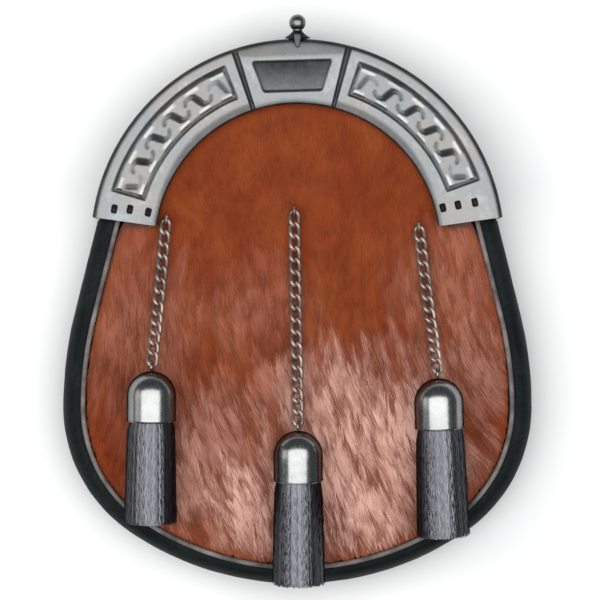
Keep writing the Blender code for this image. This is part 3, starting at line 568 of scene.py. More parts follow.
def joined_mesh(groups, faces):
    """A mesh from equal groups of points, each with the same faces."""
    copies, stride = groups.shape[:2]
    loops = np.concatenate(faces) + stride * np.arange(copies)[:, None]
    totals = np.tile([len(face) for face in faces], copies)
    mesh = bpy.data.meshes.new("copies")
    mesh.vertices.add(copies * stride)
    mesh.vertices.foreach_set("co", groups.astype(np.float32).ravel())
    mesh.loops.add(loops.size)
    mesh.loops.foreach_set("vertex_index", loops.astype(np.int32).ravel())
    mesh.polygons.add(len(totals))
    mesh.polygons.foreach_set("loop_start", (np.cumsum(totals) - totals).astype(np.int32))
    mesh.update(calc_edges=True)
    mesh.validate()
    return mesh


def copies_mesh(base, places):
    """One smooth mesh of a small bmesh repeated at each matrix."""
    places = np.array([np.array(place) for place in places])
    points = np.array([vert.co for vert in base.verts])
    base.verts.index_update()
    faces = [[vert.index for vert in face.verts] for face in base.faces]
    base.free()
    turned = np.einsum("nij,kj->nki", places[:, :3, :3], points) + places[:, None, :3, 3]
    mesh = joined_mesh(turned, faces)
    mesh.shade_smooth()
    return mesh


def add_values(mesh, name, values):
    layer = mesh.attributes.new(name, "FLOAT", "POINT")
    layer.data.foreach_set("value", np.asarray(values, np.float32).ravel())


def node_copy(name):
    """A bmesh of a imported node, its doubled vertices merged."""
    bm = bmesh.new()
    bm.from_mesh(frame["nodes"][name].data)
    bmesh.ops.remove_doubles(bm, verts=bm.verts, dist=NODE_WELD)
    return bm


def finish_node(name, material):
    """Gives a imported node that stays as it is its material."""
    node = frame["nodes"][name]
    node.data.materials.clear()
    node.data.materials.append(material)


# -------------------------------- outline


def half_outline():
    """The right half from the bottom up: points from the cantle's centre, with normals."""
    corner_x = HALF_WIDTH - CORNER_RADIUS
    reach = BOTTOM_RADIUS - CORNER_RADIUS
    bottom_y = WIDEST_Y + math.sqrt(reach**2 - corner_x**2)
    turn = math.asin(corner_x / reach)
    side = math.pi / 2
    arcs = (
        # centre x, centre y, radius, first and last angle from straight down
        (0.0, bottom_y, BOTTOM_RADIUS, 0.0, turn),
        (corner_x, WIDEST_Y, CORNER_RADIUS, turn, side),
        (HALF_WIDTH - SIDE_RADIUS, WIDEST_Y, SIDE_RADIUS, side, side + SIDE_LEAN),
    )
    stations = []
    for (x, y, radius, first, last), steps in zip(arcs, OUTLINE_STEPS):
        for angle in spread(first, last, steps)[:-1]:
            normal = Vector((math.sin(angle), -math.cos(angle), 0.0))
            stations.append((Vector((x, y, 0.0)) + normal * radius, normal))
    normal = Vector((math.cos(SIDE_LEAN), math.sin(SIDE_LEAN), 0.0))
    start = Vector((HALF_WIDTH - SIDE_RADIUS, WIDEST_Y, 0.0)) + normal * SIDE_RADIUS
    for y in spread(start.y, STRAIGHT_TOP_Y, OUTLINE_STEPS[3]):
        stations.append((leaning_point(start, y), normal))
    return stations


def leaning_point(start, y):
    """The point at a y on the straight run of the side."""
    return Vector((start.x - (y - start.y) * math.tan(SIDE_LEAN), y, 0.0))


def mirrored(stations):
    """A half outline and its mirror image, from the left arm round to the right one."""
    flip = Vector((-1.0, 1.0, 1.0))
    left = [(point * flip, normal * flip, *rest) for point, normal, *rest in stations[:0:-1]]
    return left + stations


def seam_inset(normal):
    bottom, side = SEAM_INSETS
    return bottom + (side - bottom) * normal.x**2


def inset_line(offset):
    """Points a distance inside the outline, in the frame; offset is a function of a normal."""
    stations = mirrored(half_outline())
    return [CENTRE + point - normal * offset(normal) for point, normal in stations]


def reach_along(points):
    """The distance from the first point to each point along their line."""
    lengths = [(b - a).length for a, b in zip(points, points[1:])]
    return np.concatenate(([0.0], np.cumsum(lengths)))


def point_at(points, reach, distance):
    """The point and the direction at a distance along a line of points."""
    k = min(int(np.searchsorted(reach, distance)), len(points) - 1) - 1
    ahead = (points[k + 1] - points[k]).normalized()
    return points[k] + ahead * (distance - reach[k]), ahead


# -------------------------------- leather

GUSSET_PROFILE = (
    # share of the seam's inset, share of the depth from back to front
    (0.96, 1.00),
    (0.42, 0.96),
    (0.02, 0.72),
    (0.00, 0.34),
    (0.34, 0.06),
    (0.80, 0.00),
)
PROFILE_STEPS = 22
GUSSET_WALL = 0.0018
GUSSET_TUCKS = ((0.0122, 0.0012), (0.0136, 0.0013))  # y inside the frame, extra inset
BACK_WALL = 0.0020
BACK_GAP = 0.0003
BACK_STEP = 0.0033
BACK_INSET = 0.0036
BACK_ARCH = (0.0742, math.radians(78.0))  # radius and first angle
ARCH_STEPS = 60
BACK_BEVEL = 0.0006
STRAIGHT_STEPS = 3
PUCKER_DEPTH = 0.00035
PUCKER_PITCH = 0.0075
PUCKER_HEIGHT = 0.16  # share of the depth where the puckers are deepest
PUCKER_WANDER = 4.0  # radians
WANDER_SCALES = (60.0, 2.0)  # of the noise round the outline and up the depth
GRAIN_SWELL = 0.00012
SWELL_SCALES = (190.0, 5.0)
HELD_POWER = 6  # how suddenly the leather is held even towards its edges
BACK_STITCH_INSET = 0.0068
BACK_STITCH = (0.0033, 0.00032)  # length and radius
BACK_STITCH_PITCH = 0.0042
BACK_STITCH_LIFT = 0.00005
LOOP_BEVEL = 0.0004
LOOP_SHARP = 0.6  # radians between faces past which an edge is rounded
GUSSET_SHARP = math.radians(50.0)
NOISE_LAYERS = (1.7, 0.3)  # of the puckers' wander and of the grain
SPAN_END = 1e-9  # keeps a curve's last point in its last span


def back_step_span():
    low = WIDEST_Y + SIDE_RADIUS * math.sin(SIDE_LEAN)
    return low, STRAIGHT_TOP_Y - (STRAIGHT_TOP_Y - low) / STRAIGHT_STEPS


def back_height(y):
    """Outer face of the back panel, at a y from the cantle's centre."""
    low, high = back_step_span()
    return BACK_STEP * min(1.0, max(0.0, (y - low) / (high - low)))


def curve_through(rows, steps):
    """Points on a smooth curve through the rows of a table."""
    rows = [Vector(row) for row in rows]
    rows = [2 * rows[0] - rows[1], *rows, 2 * rows[-1] - rows[-2]]
    spans = len(rows) - 3
    made = []
    for k in range(steps + 1):
        at = min(k * spans / steps, spans - SPAN_END)
        span, t = int(at), at - int(at)
        a, b, c, d = rows[span : span + 4]
        bend = 2 * a - 5 * b + 4 * c - d
        turn = 3 * b - a - 3 * c + d
        made.append(0.5 * (2 * b + (c - a) * t + bend * t * t + turn * t**3))
    return made


def gusset_stations():
    """The outline carried on under the metal: points, normals and extra insets."""
    stations = [(point, normal, 0.0) for point, normal in half_outline()]
    top, normal = stations[-1][:2]
    stations += [(leaning_point(top, y), normal, tuck) for y, tuck in GUSSET_TUCKS]
    return mirrored(stations)


def gusset_point(station, reach, inset, height):
    """A point of the gusset, creased into puckers near the back and swelling with its grain."""
    point, normal, tuck = station
    back = back_height(point.y) + BACK_WALL + BACK_GAP
    place = point - normal * (inset * seam_inset(normal) + tuck)
    place.z = back + (SEAM_Z - back) * height

    wander, swell = [
        noise.noise(Vector((reach * along, height * up, layer)))
        for (along, up), layer in zip((WANDER_SCALES, SWELL_SCALES), NOISE_LAYERS)
    ]
    turn = TURN * reach / PUCKER_PITCH + PUCKER_WANDER * wander
    low = math.exp(-(((height - PUCKER_HEIGHT) / PUCKER_HEIGHT) ** 2))
    pucker = PUCKER_DEPTH * low * (0.5 + 0.5 * math.sin(turn))
    held = 1.0 - min(1.0, abs(height - 0.5) * 2.0) ** HELD_POWER
    place -= normal * (pucker + GRAIN_SWELL * swell) * held
    return CENTRE + place


def gusset_mesh():
    """A grid bent round the outline and given its wall."""
    stations = gusset_stations()
    reach = reach_along([station[0] for station in stations])
    profile = curve_through(GUSSET_PROFILE, PROFILE_STEPS)
    last = len(stations) - 1
    bm = bmesh.new()
    bmesh.ops.create_grid(bm, x_segments=last, y_segments=PROFILE_STEPS, size=0.5)
    for vert in bm.verts:
        k = round((vert.co.x + 0.5) * last)
        row = round((vert.co.y + 0.5) * PROFILE_STEPS)
        vert.co = gusset_point(stations[k], reach[k], *profile[row])
    bm.normal_update()
    widest = max(bm.faces, key=lambda face: face.calc_center_median().x)
    if widest.normal.x < 0.0:
        bmesh.ops.reverse_faces(bm, faces=bm.faces)
    mesh = with_modifier(
        as_mesh(bm), "SOLIDIFY", thickness=GUSSET_WALL, offset=-1.0, use_even_offset=True
    )
    mesh.set_sharp_from_angle(angle=GUSSET_SHARP)
    return mesh


def back_panel_mesh():
    """A plate inside the outline, stepped up where it passes the rear frame."""
    line = inset_line(lambda normal: BACK_INSET)
    radius, start = BACK_ARCH
    line += [polar(radius, angle) for angle in spread(start, -start, ARCH_STEPS)]
    bm = bmesh.new()
    add_plate(bm, line, BACK_WALL)
    flat = {face for face in bm.faces if abs(face.normal.z) > 0.5 or len(face.verts) > 4}
    rims = [edge for edge in bm.edges if len(flat & set(edge.link_faces)) == 1]
    round_off(bm, rims, BACK_BEVEL)
    for y in back_step_span():
        geometry = bm.verts[:] + bm.edges[:] + bm.faces[:]
        place = CENTRE + Vector((0.0, y, 0.0))
        bmesh.ops.bisect_plane(bm, geom=geometry, plane_co=place, plane_no=(0.0, 1.0, 0.0))
    bmesh.ops.triangulate(bm, faces=[face for face in bm.faces if len(face.verts) > 4])
    for vert in bm.verts:
        vert.co.z += back_height(vert.co.y - CENTRE.y)
    return finish_mesh(bm)


def strap_loop_mesh(name):
    bm = node_copy(name)
    bmesh.ops.dissolve_limit(bm, angle_limit=math.radians(1.0), verts=bm.verts, edges=bm.edges)
    sharp = [edge for edge in bm.edges if edge.calc_face_angle(0.0) > LOOP_SHARP]
    round_off(bm, sharp, LOOP_BEVEL)
    return finish_mesh(bm)


def stitches_mesh(line, pitch, length, radius, lift):
    """Short rounded stitches along a line; lift is a function of a point."""
    base = bmesh.new()
    bmesh.ops.create_icosphere(base, subdivisions=2, radius=1.0)
    bmesh.ops.scale(base, vec=(0.5 * length, radius, radius), verts=base.verts)
    reach = reach_along(line)
    count = int(reach[-1] / pitch)
    places = []
    for distance in np.linspace(0.5 * pitch, reach[-1] - 0.5 * pitch, count):
        point, ahead = point_at(line, reach, distance)
        across = UP.cross(ahead).normalized()
        places.append(placed(point + UP * lift(point), ahead, across, ahead.cross(across)))
    return copies_mesh(base, places)


class SPORRAN_OT_leather_body(bpy.types.Operator):
    """Models the gusset, the back panel with its stitches and the strap loops"""

    bl_idname = "sporran.leather_body"
    bl_label = "Leather body"

    def execute(self, context):
        leather = leather_material()
        link_piece(gusset_mesh(), "gusset_leather", leather, ["gusset"])
        back = back_panel_mesh()
        link_piece(back, "back_leather", leather, ["back_panel"])
        line = inset_line(lambda normal: BACK_STITCH_INSET)
        stitches = stitches_mesh(
            line,
            BACK_STITCH_PITCH,
            *BACK_STITCH,
            lambda point: back_height(point.y - CENTRE.y) + BACK_STITCH_LIFT,
        )
        link_piece(stitches, "back_stitches", thread_material())
        for name in ("strap_loop_left", "strap_loop_right"):
            mesh = strap_loop_mesh(name)
            link_piece(mesh, f"{name}_leather", leather, [name])
        return {"FINISHED"}


# -------------------------------- hide front

SKIN_LEVELS = 2
GRID_STEP = 0.0008
SKIN_SINK_FROM = 0.6  # upward share of a face's normal past which it is let down
FUR_SEED = 11
FUR_BANDS = ((-0.125, -0.052), (-0.052, 0.0), (0.0, 0.080))  # y of each piece of fur
HAIR_SPACING = 0.00048
LOCK_CELL = (0.0019, 0.0054)
LOCK_PULL = (0.08, 0.36)  # on the smooth chest and on the loose belly
LOCK_LIFT = (0.0002, 0.0008)  # of the tips, by the lock's random value
LOOSE_LIFT = (0.45, 1.0)  # share of the lift on the chest and on the belly
LOCK_TURN = (math.radians(3.0), math.radians(14.0))
LOCK_LENGTH = (0.95, 1.30)  # of the hair's length, by the lock's random value
OWN_LENGTH = (0.78, 1.22)
OWN_TURN = math.radians(5.0)
OWN_RANGES = {"length": (0.82, 1.12), "pull": (0.6, 1.0), "lift": (0.5, 1.2), "width": (0.75, 1.3)}
SHADE_BY_LOCK = 0.3
SHADE_SPREAD = 0.22
STREAK_SEED = 10
STREAK_CELLS = ((0.0011, 0.0052, 1.2), (0.0030, 0.0110, 0.8))  # across, along, strength
LEAN_ROWS = (
    # share of the half-width, lean in degrees towards +x
    (-1.0, -14.0),
    (-0.6, 4.0),
    (-0.3, 22.0),
    (0.0, 12.0),
    (0.4, 16.0),
    (0.8, 34.0),
    (1.0, 40.0),
)
LEAN_ORIGIN_Y = -0.040
LEAN_LEAST = 0.2  # share of the lean at the top of the chest
LEAN_WANDER = (math.radians(16.0), 0.016, 3)  # angle, size of its cells, seed
SWAY_Y = (0.030, -0.040)  # where the hair starts to lean, and where it leans most
LOOSE_Y = (0.036, -0.030)
PAINTED_SHEEN_AREAS = (
    # middle and reach of each area of painted sheen, and how strong it is
    (0.0280, -0.0600, 0.036, 0.042, 1.00),
    (-0.0170, -0.0760, 0.028, 0.024, 1.00),
    (-0.0420, -0.0680, 0.020, 0.026, 0.50),
    (0.0090, -0.0330, 0.026, 0.020, 0.70),
    (-0.0280, -0.0440, 0.026, 0.022, 0.34),
    (0.0660, -0.0200, 0.014, 0.026, 0.36),
    (-0.0600, -0.0060, 0.024, 0.034, 0.17),
    (0.0600, 0.0120, 0.022, 0.024, 0.20),
    (-0.0150, -0.0020, 0.022, 0.022, 0.15),
)
SHEEN_REACH = 1.4  # how far past its reach an area fades out
SHEEN_SWAY = 0.7  # how far the streaks carry the areas' edges
SHEEN_CELL = (0.0030, 0.0120)
SHEEN_SEED = 20
SHEEN_EDGE = 0.0058  # how near to the bottom edge the painted sheen is faint
SHEEN_EDGE_RANGE = (0.5, 1.5)
EDGE_SHEEN = 0.20
PAINTED_PIPING_SHADOW = (0.0020, 0.4)  # how near to the sides' piping the hair gets a painted shadow, and the share of its tone left there
TIP_REACH = (1, 2)  # cells across and along that the tips may pass the skin's edge
ROOT_SINK = 0.0001
HAIR_THICKNESS = 0.30
FUR_RIM = 0.0546
RIM_OVERLAP = 0.003
RIM_LOW_Y = 0.0075  # below it there is no metal over the hide
EYE_DIMPLE = 0.0014
SHORTENED = (1.0, 0.8, 0.6, 0.42, 0.26)  # shares of a strand that are tried in turn
QUAD_ANGLES = (math.radians(30.0), math.radians(60.0))  # between faces and at their corners
CHANCE_SCALES = (127.1, 311.7)  # scatter a lattice's cells over a fast wave
CHANCE_STEP = 7.3
CHANCE_REACH = 43758.5453
SPIKE_FACES = ((0, 2, 1), (0, 1, 3), (1, 2, 3), (2, 0, 3))


def skin_mesh():
    """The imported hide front, its front let down by the pile's depth and smoothed."""
    bm = node_copy("front_panel")
    flat, square = QUAD_ANGLES
    bmesh.ops.join_triangles(
        bm, faces=bm.faces, angle_face_threshold=flat, angle_shape_threshold=square
    )
    bm.normal_update()
    front = [face for face in bm.faces if face.normal.z > SKIN_SINK_FROM]
    for vert in {vert for face in front for vert in face.verts}:
        vert.co.z -= vert.normal.z * sizes().pile_depth
    mesh = finish_mesh(bm)
    return with_modifier(mesh, "SUBSURF", levels=SKIN_LEVELS, render_levels=SKIN_LEVELS)


class Ground:
    """Heights of the skin over a grid of places, with a gap where there is none."""

    def __init__(self, mesh):
        bm = bmesh.new()
        bm.from_mesh(mesh)
        tree = BVHTree.FromBMesh(bm)
        bm.free()
        low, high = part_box("front_panel")
        margin = np.array(TIP_REACH) * GRID_STEP
        self.low = np.array(low[:2]) - margin
        span = np.array(high[:2]) - self.low + margin
        counts = np.ceil(span / GRID_STEP).astype(int) + 1
        self.heights = np.full(counts, np.nan)
        down = Vector((0.0, 0.0, -1.0))
        for i in range(counts[0]):
            for j in range(counts[1]):
                x, y = self.low + GRID_STEP * np.array((i, j))
                hit = tree.ray_cast(Vector((x, y, 1.0)), down)[0]
                if hit:
                    self.heights[i, j] = hit.z
        self.wider = np.array(self.heights)
        for axis, cells in enumerate(TIP_REACH):
            for _ in range(cells):
                sides = [np.roll(self.wider, shift, axis) for shift in (-1, 1)]
                for side in sides:
                    self.wider = np.where(np.isnan(self.wider), side, self.wider)

    def at(self, places, grid=None):
        """Heights at places, of the skin itself or of the grid carried on past its edge."""
        grid = self.heights if grid is None else grid
        at = (places - self.low) / GRID_STEP
        cell = np.clip(np.floor(at).astype(int), 0, np.array(grid.shape) - 2)
        u, v = (at - cell).T
        i, j = cell.T
        level = grid[i, j] * (1 - u) * (1 - v) + grid[i + 1, j] * u * (1 - v)
        level += grid[i, j + 1] * (1 - u) * v + grid[i + 1, j + 1] * u * v
        outside = ((at < 0) | (at > np.array(grid.shape) - 1)).any(axis=1)
        return np.where(outside, np.nan, level)


def chance(cells, seed):
    """A random value from 0 to 1 for each cell of a lattice."""
    wave = np.sin(cells @ np.array(CHANCE_SCALES) + CHANCE_STEP * seed)
    return wave * CHANCE_REACH % 1.0


def soft_noise(places, seed):
    """Smooth random values from 0 to 1 over a lattice of unit cells."""
    cell = np.floor(places)
    part = smooth_step(places - cell)
    total = np.zeros(len(places))
    for corner in ((0, 0), (0, 1), (1, 0), (1, 1)):
        weight = np.where(corner, part, 1.0 - part).prod(axis=1)
        total += weight * chance(cell + corner, seed)
    return total


def hair_lean(places):
    """The angle of the hair from straight down the pouch, positive towards +x."""
    shares, leans = np.array(LEAN_ROWS).T
    top, low = SWAY_Y
    spreading = smooth_step((top - places[:, 1]) / (top - low)) * (1.0 - LEAN_LEAST) + LEAN_LEAST
    lean = np.radians(np.interp(places[:, 0] / HALF_WIDTH, shares, leans)) * spreading
    wander, cell, seed = LEAN_WANDER
    return lean + wander * (soft_noise(places / cell, seed) - 0.5)


def under_metal(places):
    """Whether each place is under the cantle, past the edge that the hair may reach."""
    offset = places - np.array(CENTRE[:2])
    radius = np.hypot(offset[:, 0], offset[:, 1])
    return (radius > FUR_RIM + RIM_OVERLAP) & (offset[:, 1] > RIM_LOW_Y)


def hair_roots(ground, band, rng):
    """Scattered roots over one band of the skin, clear of the cantle and the chains' eyes."""
    low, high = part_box("front_panel")
    xs = np.arange(low.x, high.x, HAIR_SPACING)
    ys = np.arange(max(low.y, band[0]), min(high.y, band[1]), HAIR_SPACING)
    roots = np.stack(np.meshgrid(xs, ys), axis=-1).reshape(-1, 2)
    roots += rng.uniform(-0.5, 0.5, roots.shape) * HAIR_SPACING
    roots = roots[~np.isnan(ground.at(roots)) & ~under_metal(roots)]
    for side in SIDES:
        a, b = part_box(f"chain_eye_{side}")
        middle = np.array((0.5 * (a + b))[:2])
        roots = roots[np.hypot(*(roots - middle).T) > EYE_DIMPLE]
    return roots


def lock_centres(flow):
    """The middle of the lock that each place belongs to, and the lock's random value."""
    home = np.floor(flow)
    best = np.full(len(flow), np.inf)
    centres = np.zeros_like(flow)
    picks = np.zeros(len(flow))
    for dx in (-1, 0, 1):
        for dy in (-1, 0, 1):
            index = home + (dx, dy)
            centre = index + np.stack((chance(index, 0), chance(index, 1)), axis=-1)
            away = np.hypot(*(flow - centre).T)
            nearer = away < best
            best = np.where(nearer, away, best)
            centres = np.where(nearer[:, None], centre, centres)
            picks = np.where(nearer, chance(index, 2), picks)
    return centres, picks


def tips_on_skin(ground, roots, tips):
    """Tips drawn back to where they still lie on the skin, and which strands have one."""
    final = np.array(roots)
    done = np.zeros(len(roots), bool)
    for share in SHORTENED:
        tried = roots + (tips - roots) * share
        good = ~np.isnan(ground.at(tried, ground.wider)) & ~under_metal(tried) & ~done
        final[good] = tried[good]
        done |= good
    return final, done


def ahead_at(angle):
    """Directions in plan at angles from straight down the pouch."""
    return np.stack((np.sin(angle), -np.cos(angle)), axis=-1)


def strand_shades(ground, roots, flow, picks, rng):
    """How light each strand is: by its lock and in streaks, with a painted shadow near the sides'
    piping.
    """
    shade = 0.5 + SHADE_BY_LOCK * (picks - 0.5) + rng.normal(0.0, SHADE_SPREAD, len(roots))
    for k, (across, along, strength) in enumerate(STREAK_CELLS):
        shade += strength * (soft_noise(flow / (across, along), STREAK_SEED + k) - 0.5)
    near, shadow_share = PAINTED_PIPING_SHADOW
    # Painted shadow: strands near the sides' piping are darkened
    for step in (-near, near):
        shade = np.where(np.isnan(ground.at(roots + (step, 0.0))), shadow_share * shade, shade)
    return np.clip(shade, 0.0, 1.0)


def strand_painted_sheen(ground, roots, flow, rng):
    """How much painted sheen each strand has: by the sheen areas, and little at the bottom edge.
    """
    stray = SHEEN_SWAY * (soft_noise(flow / SHEEN_CELL, SHEEN_SEED) - 0.5)
    sheen_patch = np.zeros(len(roots))
    for x, y, wide, high, strength in PAINTED_SHEEN_AREAS:
        away = np.hypot((roots[:, 0] - x) / wide, (roots[:, 1] - y) / high) + stray
        sheen_patch = np.maximum(sheen_patch, strength * smooth_step(SHEEN_REACH - away))
    below = roots - (0.0, SHEEN_EDGE) * rng.uniform(*SHEEN_EDGE_RANGE, (len(roots), 1))
    return np.where(np.isnan(ground.at(below)), EDGE_SHEEN * sheen_patch, sheen_patch)


def fur_strands(ground, band):
    """Bases, tips, widths, tones with painted shadow, and painted sheen of the strands of one band
    of the hide.
    """
    size = sizes()
    rng = np.random.default_rng(FUR_SEED + FUR_BANDS.index(band))
    roots = hair_roots(ground, band, rng)
    count = len(roots)
    top, low = LOOSE_Y
    loose = smooth_step((top - roots[:, 1]) / (top - low))
    slope = np.tan(hair_lean(roots))
    flow = np.stack((roots[:, 0] + slope * (roots[:, 1] - LEAN_ORIGIN_Y), roots[:, 1]), axis=-1)
    centres, picks = lock_centres(flow / LOCK_CELL)
    centres = centres * LOCK_CELL
    centres[:, 0] -= slope * (centres[:, 1] - LEAN_ORIGIN_Y)

    lean = hair_lean(centres) + lerp(LOCK_TURN, loose) * (2.0 * picks - 1.0)

    def own_share(key):
        return rng.uniform(*OWN_RANGES[key], count)

    own = lean + rng.normal(0.0, OWN_TURN, count)
    length = size.hair_length * lerp(OWN_LENGTH, picks) * own_share("length")
    lock_length = size.hair_length * lerp(LOCK_LENGTH, picks)
    gathered = centres + ahead_at(lean) * lock_length[:, None]
    free = roots + ahead_at(own) * length[:, None]
    pull = lerp(LOCK_PULL, loose) * own_share("pull")
    tips, done = tips_on_skin(ground, roots, free + (gathered - free) * pull[:, None])

    shade = strand_shades(ground, roots, flow, picks, rng)
    sheen_patch = strand_painted_sheen(ground, roots, flow, rng)
    base = np.column_stack((roots, ground.at(roots) - ROOT_SINK))
    lift = lerp(LOCK_LIFT, picks) * lerp(LOOSE_LIFT, loose) * own_share("lift")
    ends = np.column_stack((tips, ground.at(tips, ground.wider) + lift))
    width = size.hair_width * own_share("width")
    return [row[done] for row in (base, ends, width, shade, sheen_patch)]


def fur_mesh(ground, band):
    """Each strand is a low three-sided spike that lies along the skin."""
    base, ends, width, shade, sheen_patch = fur_strands(ground, band)
    ahead = ends - base
    ahead /= np.linalg.norm(ahead, axis=1)[:, None]
    across = np.cross(ahead, (0.0, 0.0, 1.0))
    across /= np.linalg.norm(across, axis=1)[:, None]
    rise = np.cross(across, ahead)
    half = 0.5 * width[:, None]
    ridge = base + rise * half * 2.0 * HAIR_THICKNESS
    points = np.stack((base - across * half, base + across * half, ridge, ends), axis=1)
    mesh = joined_mesh(points, SPIKE_FACES)
    for name, values in (("lock_tone_and_shadow", shade), ("painted_sheen", sheen_patch)):
        add_values(mesh, name, np.repeat(values, points.shape[1]))
    add_values(mesh, "toward_tip", np.tile((0.0, 0.0, 0.0, 1.0), len(base)))
    mesh.shade_flat()
    return mesh


class SPORRAN_OT_hide_front(bpy.types.Operator):
    """Smooths the hide's skin and grows its short hair in locks"""

    bl_idname = "sporran.hide_front"
    bl_label = "Hide front"

    def execute(self, context):
        skin = skin_mesh()
        ground = Ground(skin)
        link_piece(skin, "hide_skin", skin_material(), ["front_panel"])
        hair = hair_material()
        for name, band in zip(("belly", "waist", "chest"), FUR_BANDS):
            mesh = fur_mesh(ground, band)
            link_piece(mesh, f"hide_hair_{name}", hair)
        return {"FINISHED"}


# -------------------------------- piping

PIPING_RADIUS = 0.0009
PIPING_SIDES = 12
PIPING_LIFT = 0.0001
PIPING_TAIL = (0.0026, 0.0006)  # how far its ends run on under the metal, and dip
STITCH_RADIUS = 0.00042
STITCH_LIFT = 0.00062


class SPORRAN_OT_piping(bpy.types.Operator):
    """Lays the piping on the seam, with a row of stitches over it"""

    bl_idname = "sporran.piping"
    bl_label = "Piping"

    def execute(self, context):
        height = SEAM_Z + PIPING_LIFT + PIPING_RADIUS
        line = [point + UP * height for point in inset_line(seam_inset)]
        onward, dip = PIPING_TAIL
        tails = []
        for end, before in (line[:2], line[:-3:-1]):
            tails.append(end + (end - before).normalized() * onward - UP * dip)
        bm = bmesh.new()
        frames = path_frames([tails[0], *line, tails[1]])
        add_tube(bm, frames, PIPING_RADIUS, PIPING_SIDES)
        thread = thread_material()
        piping = finish_mesh(bm)
        link_piece(piping, "seam_piping", thread, ["front_piping"])
        size = sizes()
        stitches = stitches_mesh(
            line, size.stitch_pitch, size.stitch_length, STITCH_RADIUS, lambda point: STITCH_LIFT
        )
        link_piece(stitches, "seam_stitches", thread)
        return {"FINISHED"}


# -------------------------------- cantle

ARM_END = math.radians(82.0)
CANTLE_INNER = 0.0544
JOIN_Z, FRONT_Z = [corner.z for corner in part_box("cantle")]
PLATE_BACK_Z = FRONT_Z - 0.0040
FLANGE_INNER = 0.0771
GRID_STEPS = (620, 92)  # round the arc and across it
OUTER_ROUND = 0.0016
INNER_ROUND = 0.0009
RIM_CROWN = 0.0004
PATINA_DEPTH = 0.0015  # where the metal is wholly black
RELIEF_TURN = math.radians(1.7)  # the ornament sits a little round from upright
FIELD_RADII = (0.0608, 0.0745)
FIELD_ANGLES = (math.radians(20.1), math.radians(71.8))
KNOT_RADIUS = 0.0675
KNOT_START = math.radians(23.55)
KNOT_PITCH = math.radians(9.04)
KNOT_UNITS = 5  # slots in a panel, less one
KNOT_LINE = (
    # from the middle of a slot along its groove: along, out, half-width, share of the depth
    (0.0000, 0.0000, 0.00180, 1.00),
    (0.0006, 0.0016, 0.00170, 0.95),
    (0.0015, 0.0024, 0.00130, 0.52),
    (0.0031, 0.0026, 0.00120, 0.36),
    (0.0045, 0.0022, 0.00145, 0.48),
    (0.0050, 0.0015, 0.00145, 0.50),
)
GROOVE_POWER = 1.35  # above 1 the grooves are sharp at the bottom and soft at the top
END_DEPTH = 0.6  # of the first and last slots
BAR_AWAY = 0.00425  # of the bright bars from the middle of the panel
BAR_REACH = 0.0020
BAR_SHIFT = 0.0003
BAR_HALF = 0.0017
BAR_RISE = 0.00018
# Painted highlight on the raised bars
PAINTED_BAR_HIGHLIGHT = 0.90
MOAT_HALF = 0.00080
MOAT_REACH = 0.00120
MOAT_SHARE = 0.72  # of the slots' depth
KNOT_PATINA = 0.86  # how far the grooves are blackened
PANEL_TONE = 0.65
PANEL_DROP = 0.00015
GROOVE_ANGLES = (math.radians(15.15), math.radians(17.25))
GROOVE_DEPTH = 0.0010
GROOVE_EDGE = 0.0010
BLOCK_TOP = (0.0163, 0.0717)
BLOCK_FOOT = (0.0117, 0.0587)
BLOCK_DEPTH = 0.0008
BLOCK_EDGE = 0.0017
BLOCK_CROWN = 0.0003
PAINTED_BLOCK_TONES = (0.43, 0.17)  # at its foot and top: a painted reflection, lighter at the foot and darker at the top
POCKETS = (
    # turn from the top in degrees and radius of each pocket near the arms' ends
    (-78.6, 0.0716),
    (-77.7, 0.0657),
    (-77.3, 0.0586),
    (75.3, 0.0576),
    (75.7, 0.0635),
    (76.2, 0.0700),
)
POCKET_HALF = (0.00125, 0.00165)
POCKET_DEPTH = 0.0015
POCKET_EDGE = 0.0008
POCKET_FOOT = 0.65  # of the depth is left at the end away from the knot
RIM_RELIEF = 0.72
PAINTED_CREST_SHADE = 0.36  # share of painted shade on the rim above the block
CREST_EDGE = 0.002
EDGE_RELIEF = 0.26
CANTLE_SHARP = math.radians(55.0)
CANTLE_WELD = 1e-7
PAINTED_EDGE_SHADE = (
    # radii where the painted shade along an edge starts at some turns from the top, its width and
    # its tone
    (((0.0, 0.0770), (90.0, 0.0770)), 0.0015, 0.28),
    (((15.3, 0.0570), (15.5, 0.0588), (48.0, 0.0586), (72.0, 0.0570)), -0.0022, 0.38),
)


def stroke(s, v, start, end):
    """A groove between two points: its depth at each place, and the widest near them."""
    along = (end[0] - start[0], end[1] - start[1])
    share = (s - start[0]) * along[0] + (v - start[1]) * along[1]
    share = np.clip(share / (along[0] ** 2 + along[1] ** 2), 0.0, 1.0)
    away = np.hypot(s - start[0] - share * along[0], v - start[1] - share * along[1])
    half, depth = [start[k] + (end[k] - start[k]) * share for k in (2, 3)]
    return depth * np.clip(1.0 - away / half, 0.0, 1.0) ** GROOVE_POWER


def knot_marks(turn, radius):
    """Depth of the key's grooves, and the strength of the raised bars at its edges, which carry a
    painted highlight.
    """
    v = radius - KNOT_RADIUS
    cut = np.zeros_like(v)
    bar = np.zeros_like(v)
    for unit in range(KNOT_UNITS + 1):
        s = (turn - KNOT_START - unit * KNOT_PITCH) * KNOT_RADIUS
        for way in (-1, 1):
            at_end = unit == (KNOT_UNITS if way > 0 else 0)
            line = KNOT_LINE[:3] if at_end else KNOT_LINE
            depth = END_DEPTH if unit in (0, KNOT_UNITS) else 1.0
            for start, end in zip(line, line[1:]):
                cut = np.maximum(cut, depth * stroke(way * s, way * v, start, end))
            middle, away = BAR_SHIFT * way, BAR_AWAY * way
            ends = [(middle + x, away, BAR_HALF, 1.0) for x in (-BAR_REACH, BAR_REACH)]
            bar = np.maximum(bar, stroke(s, v, *ends))
    return cut, bar


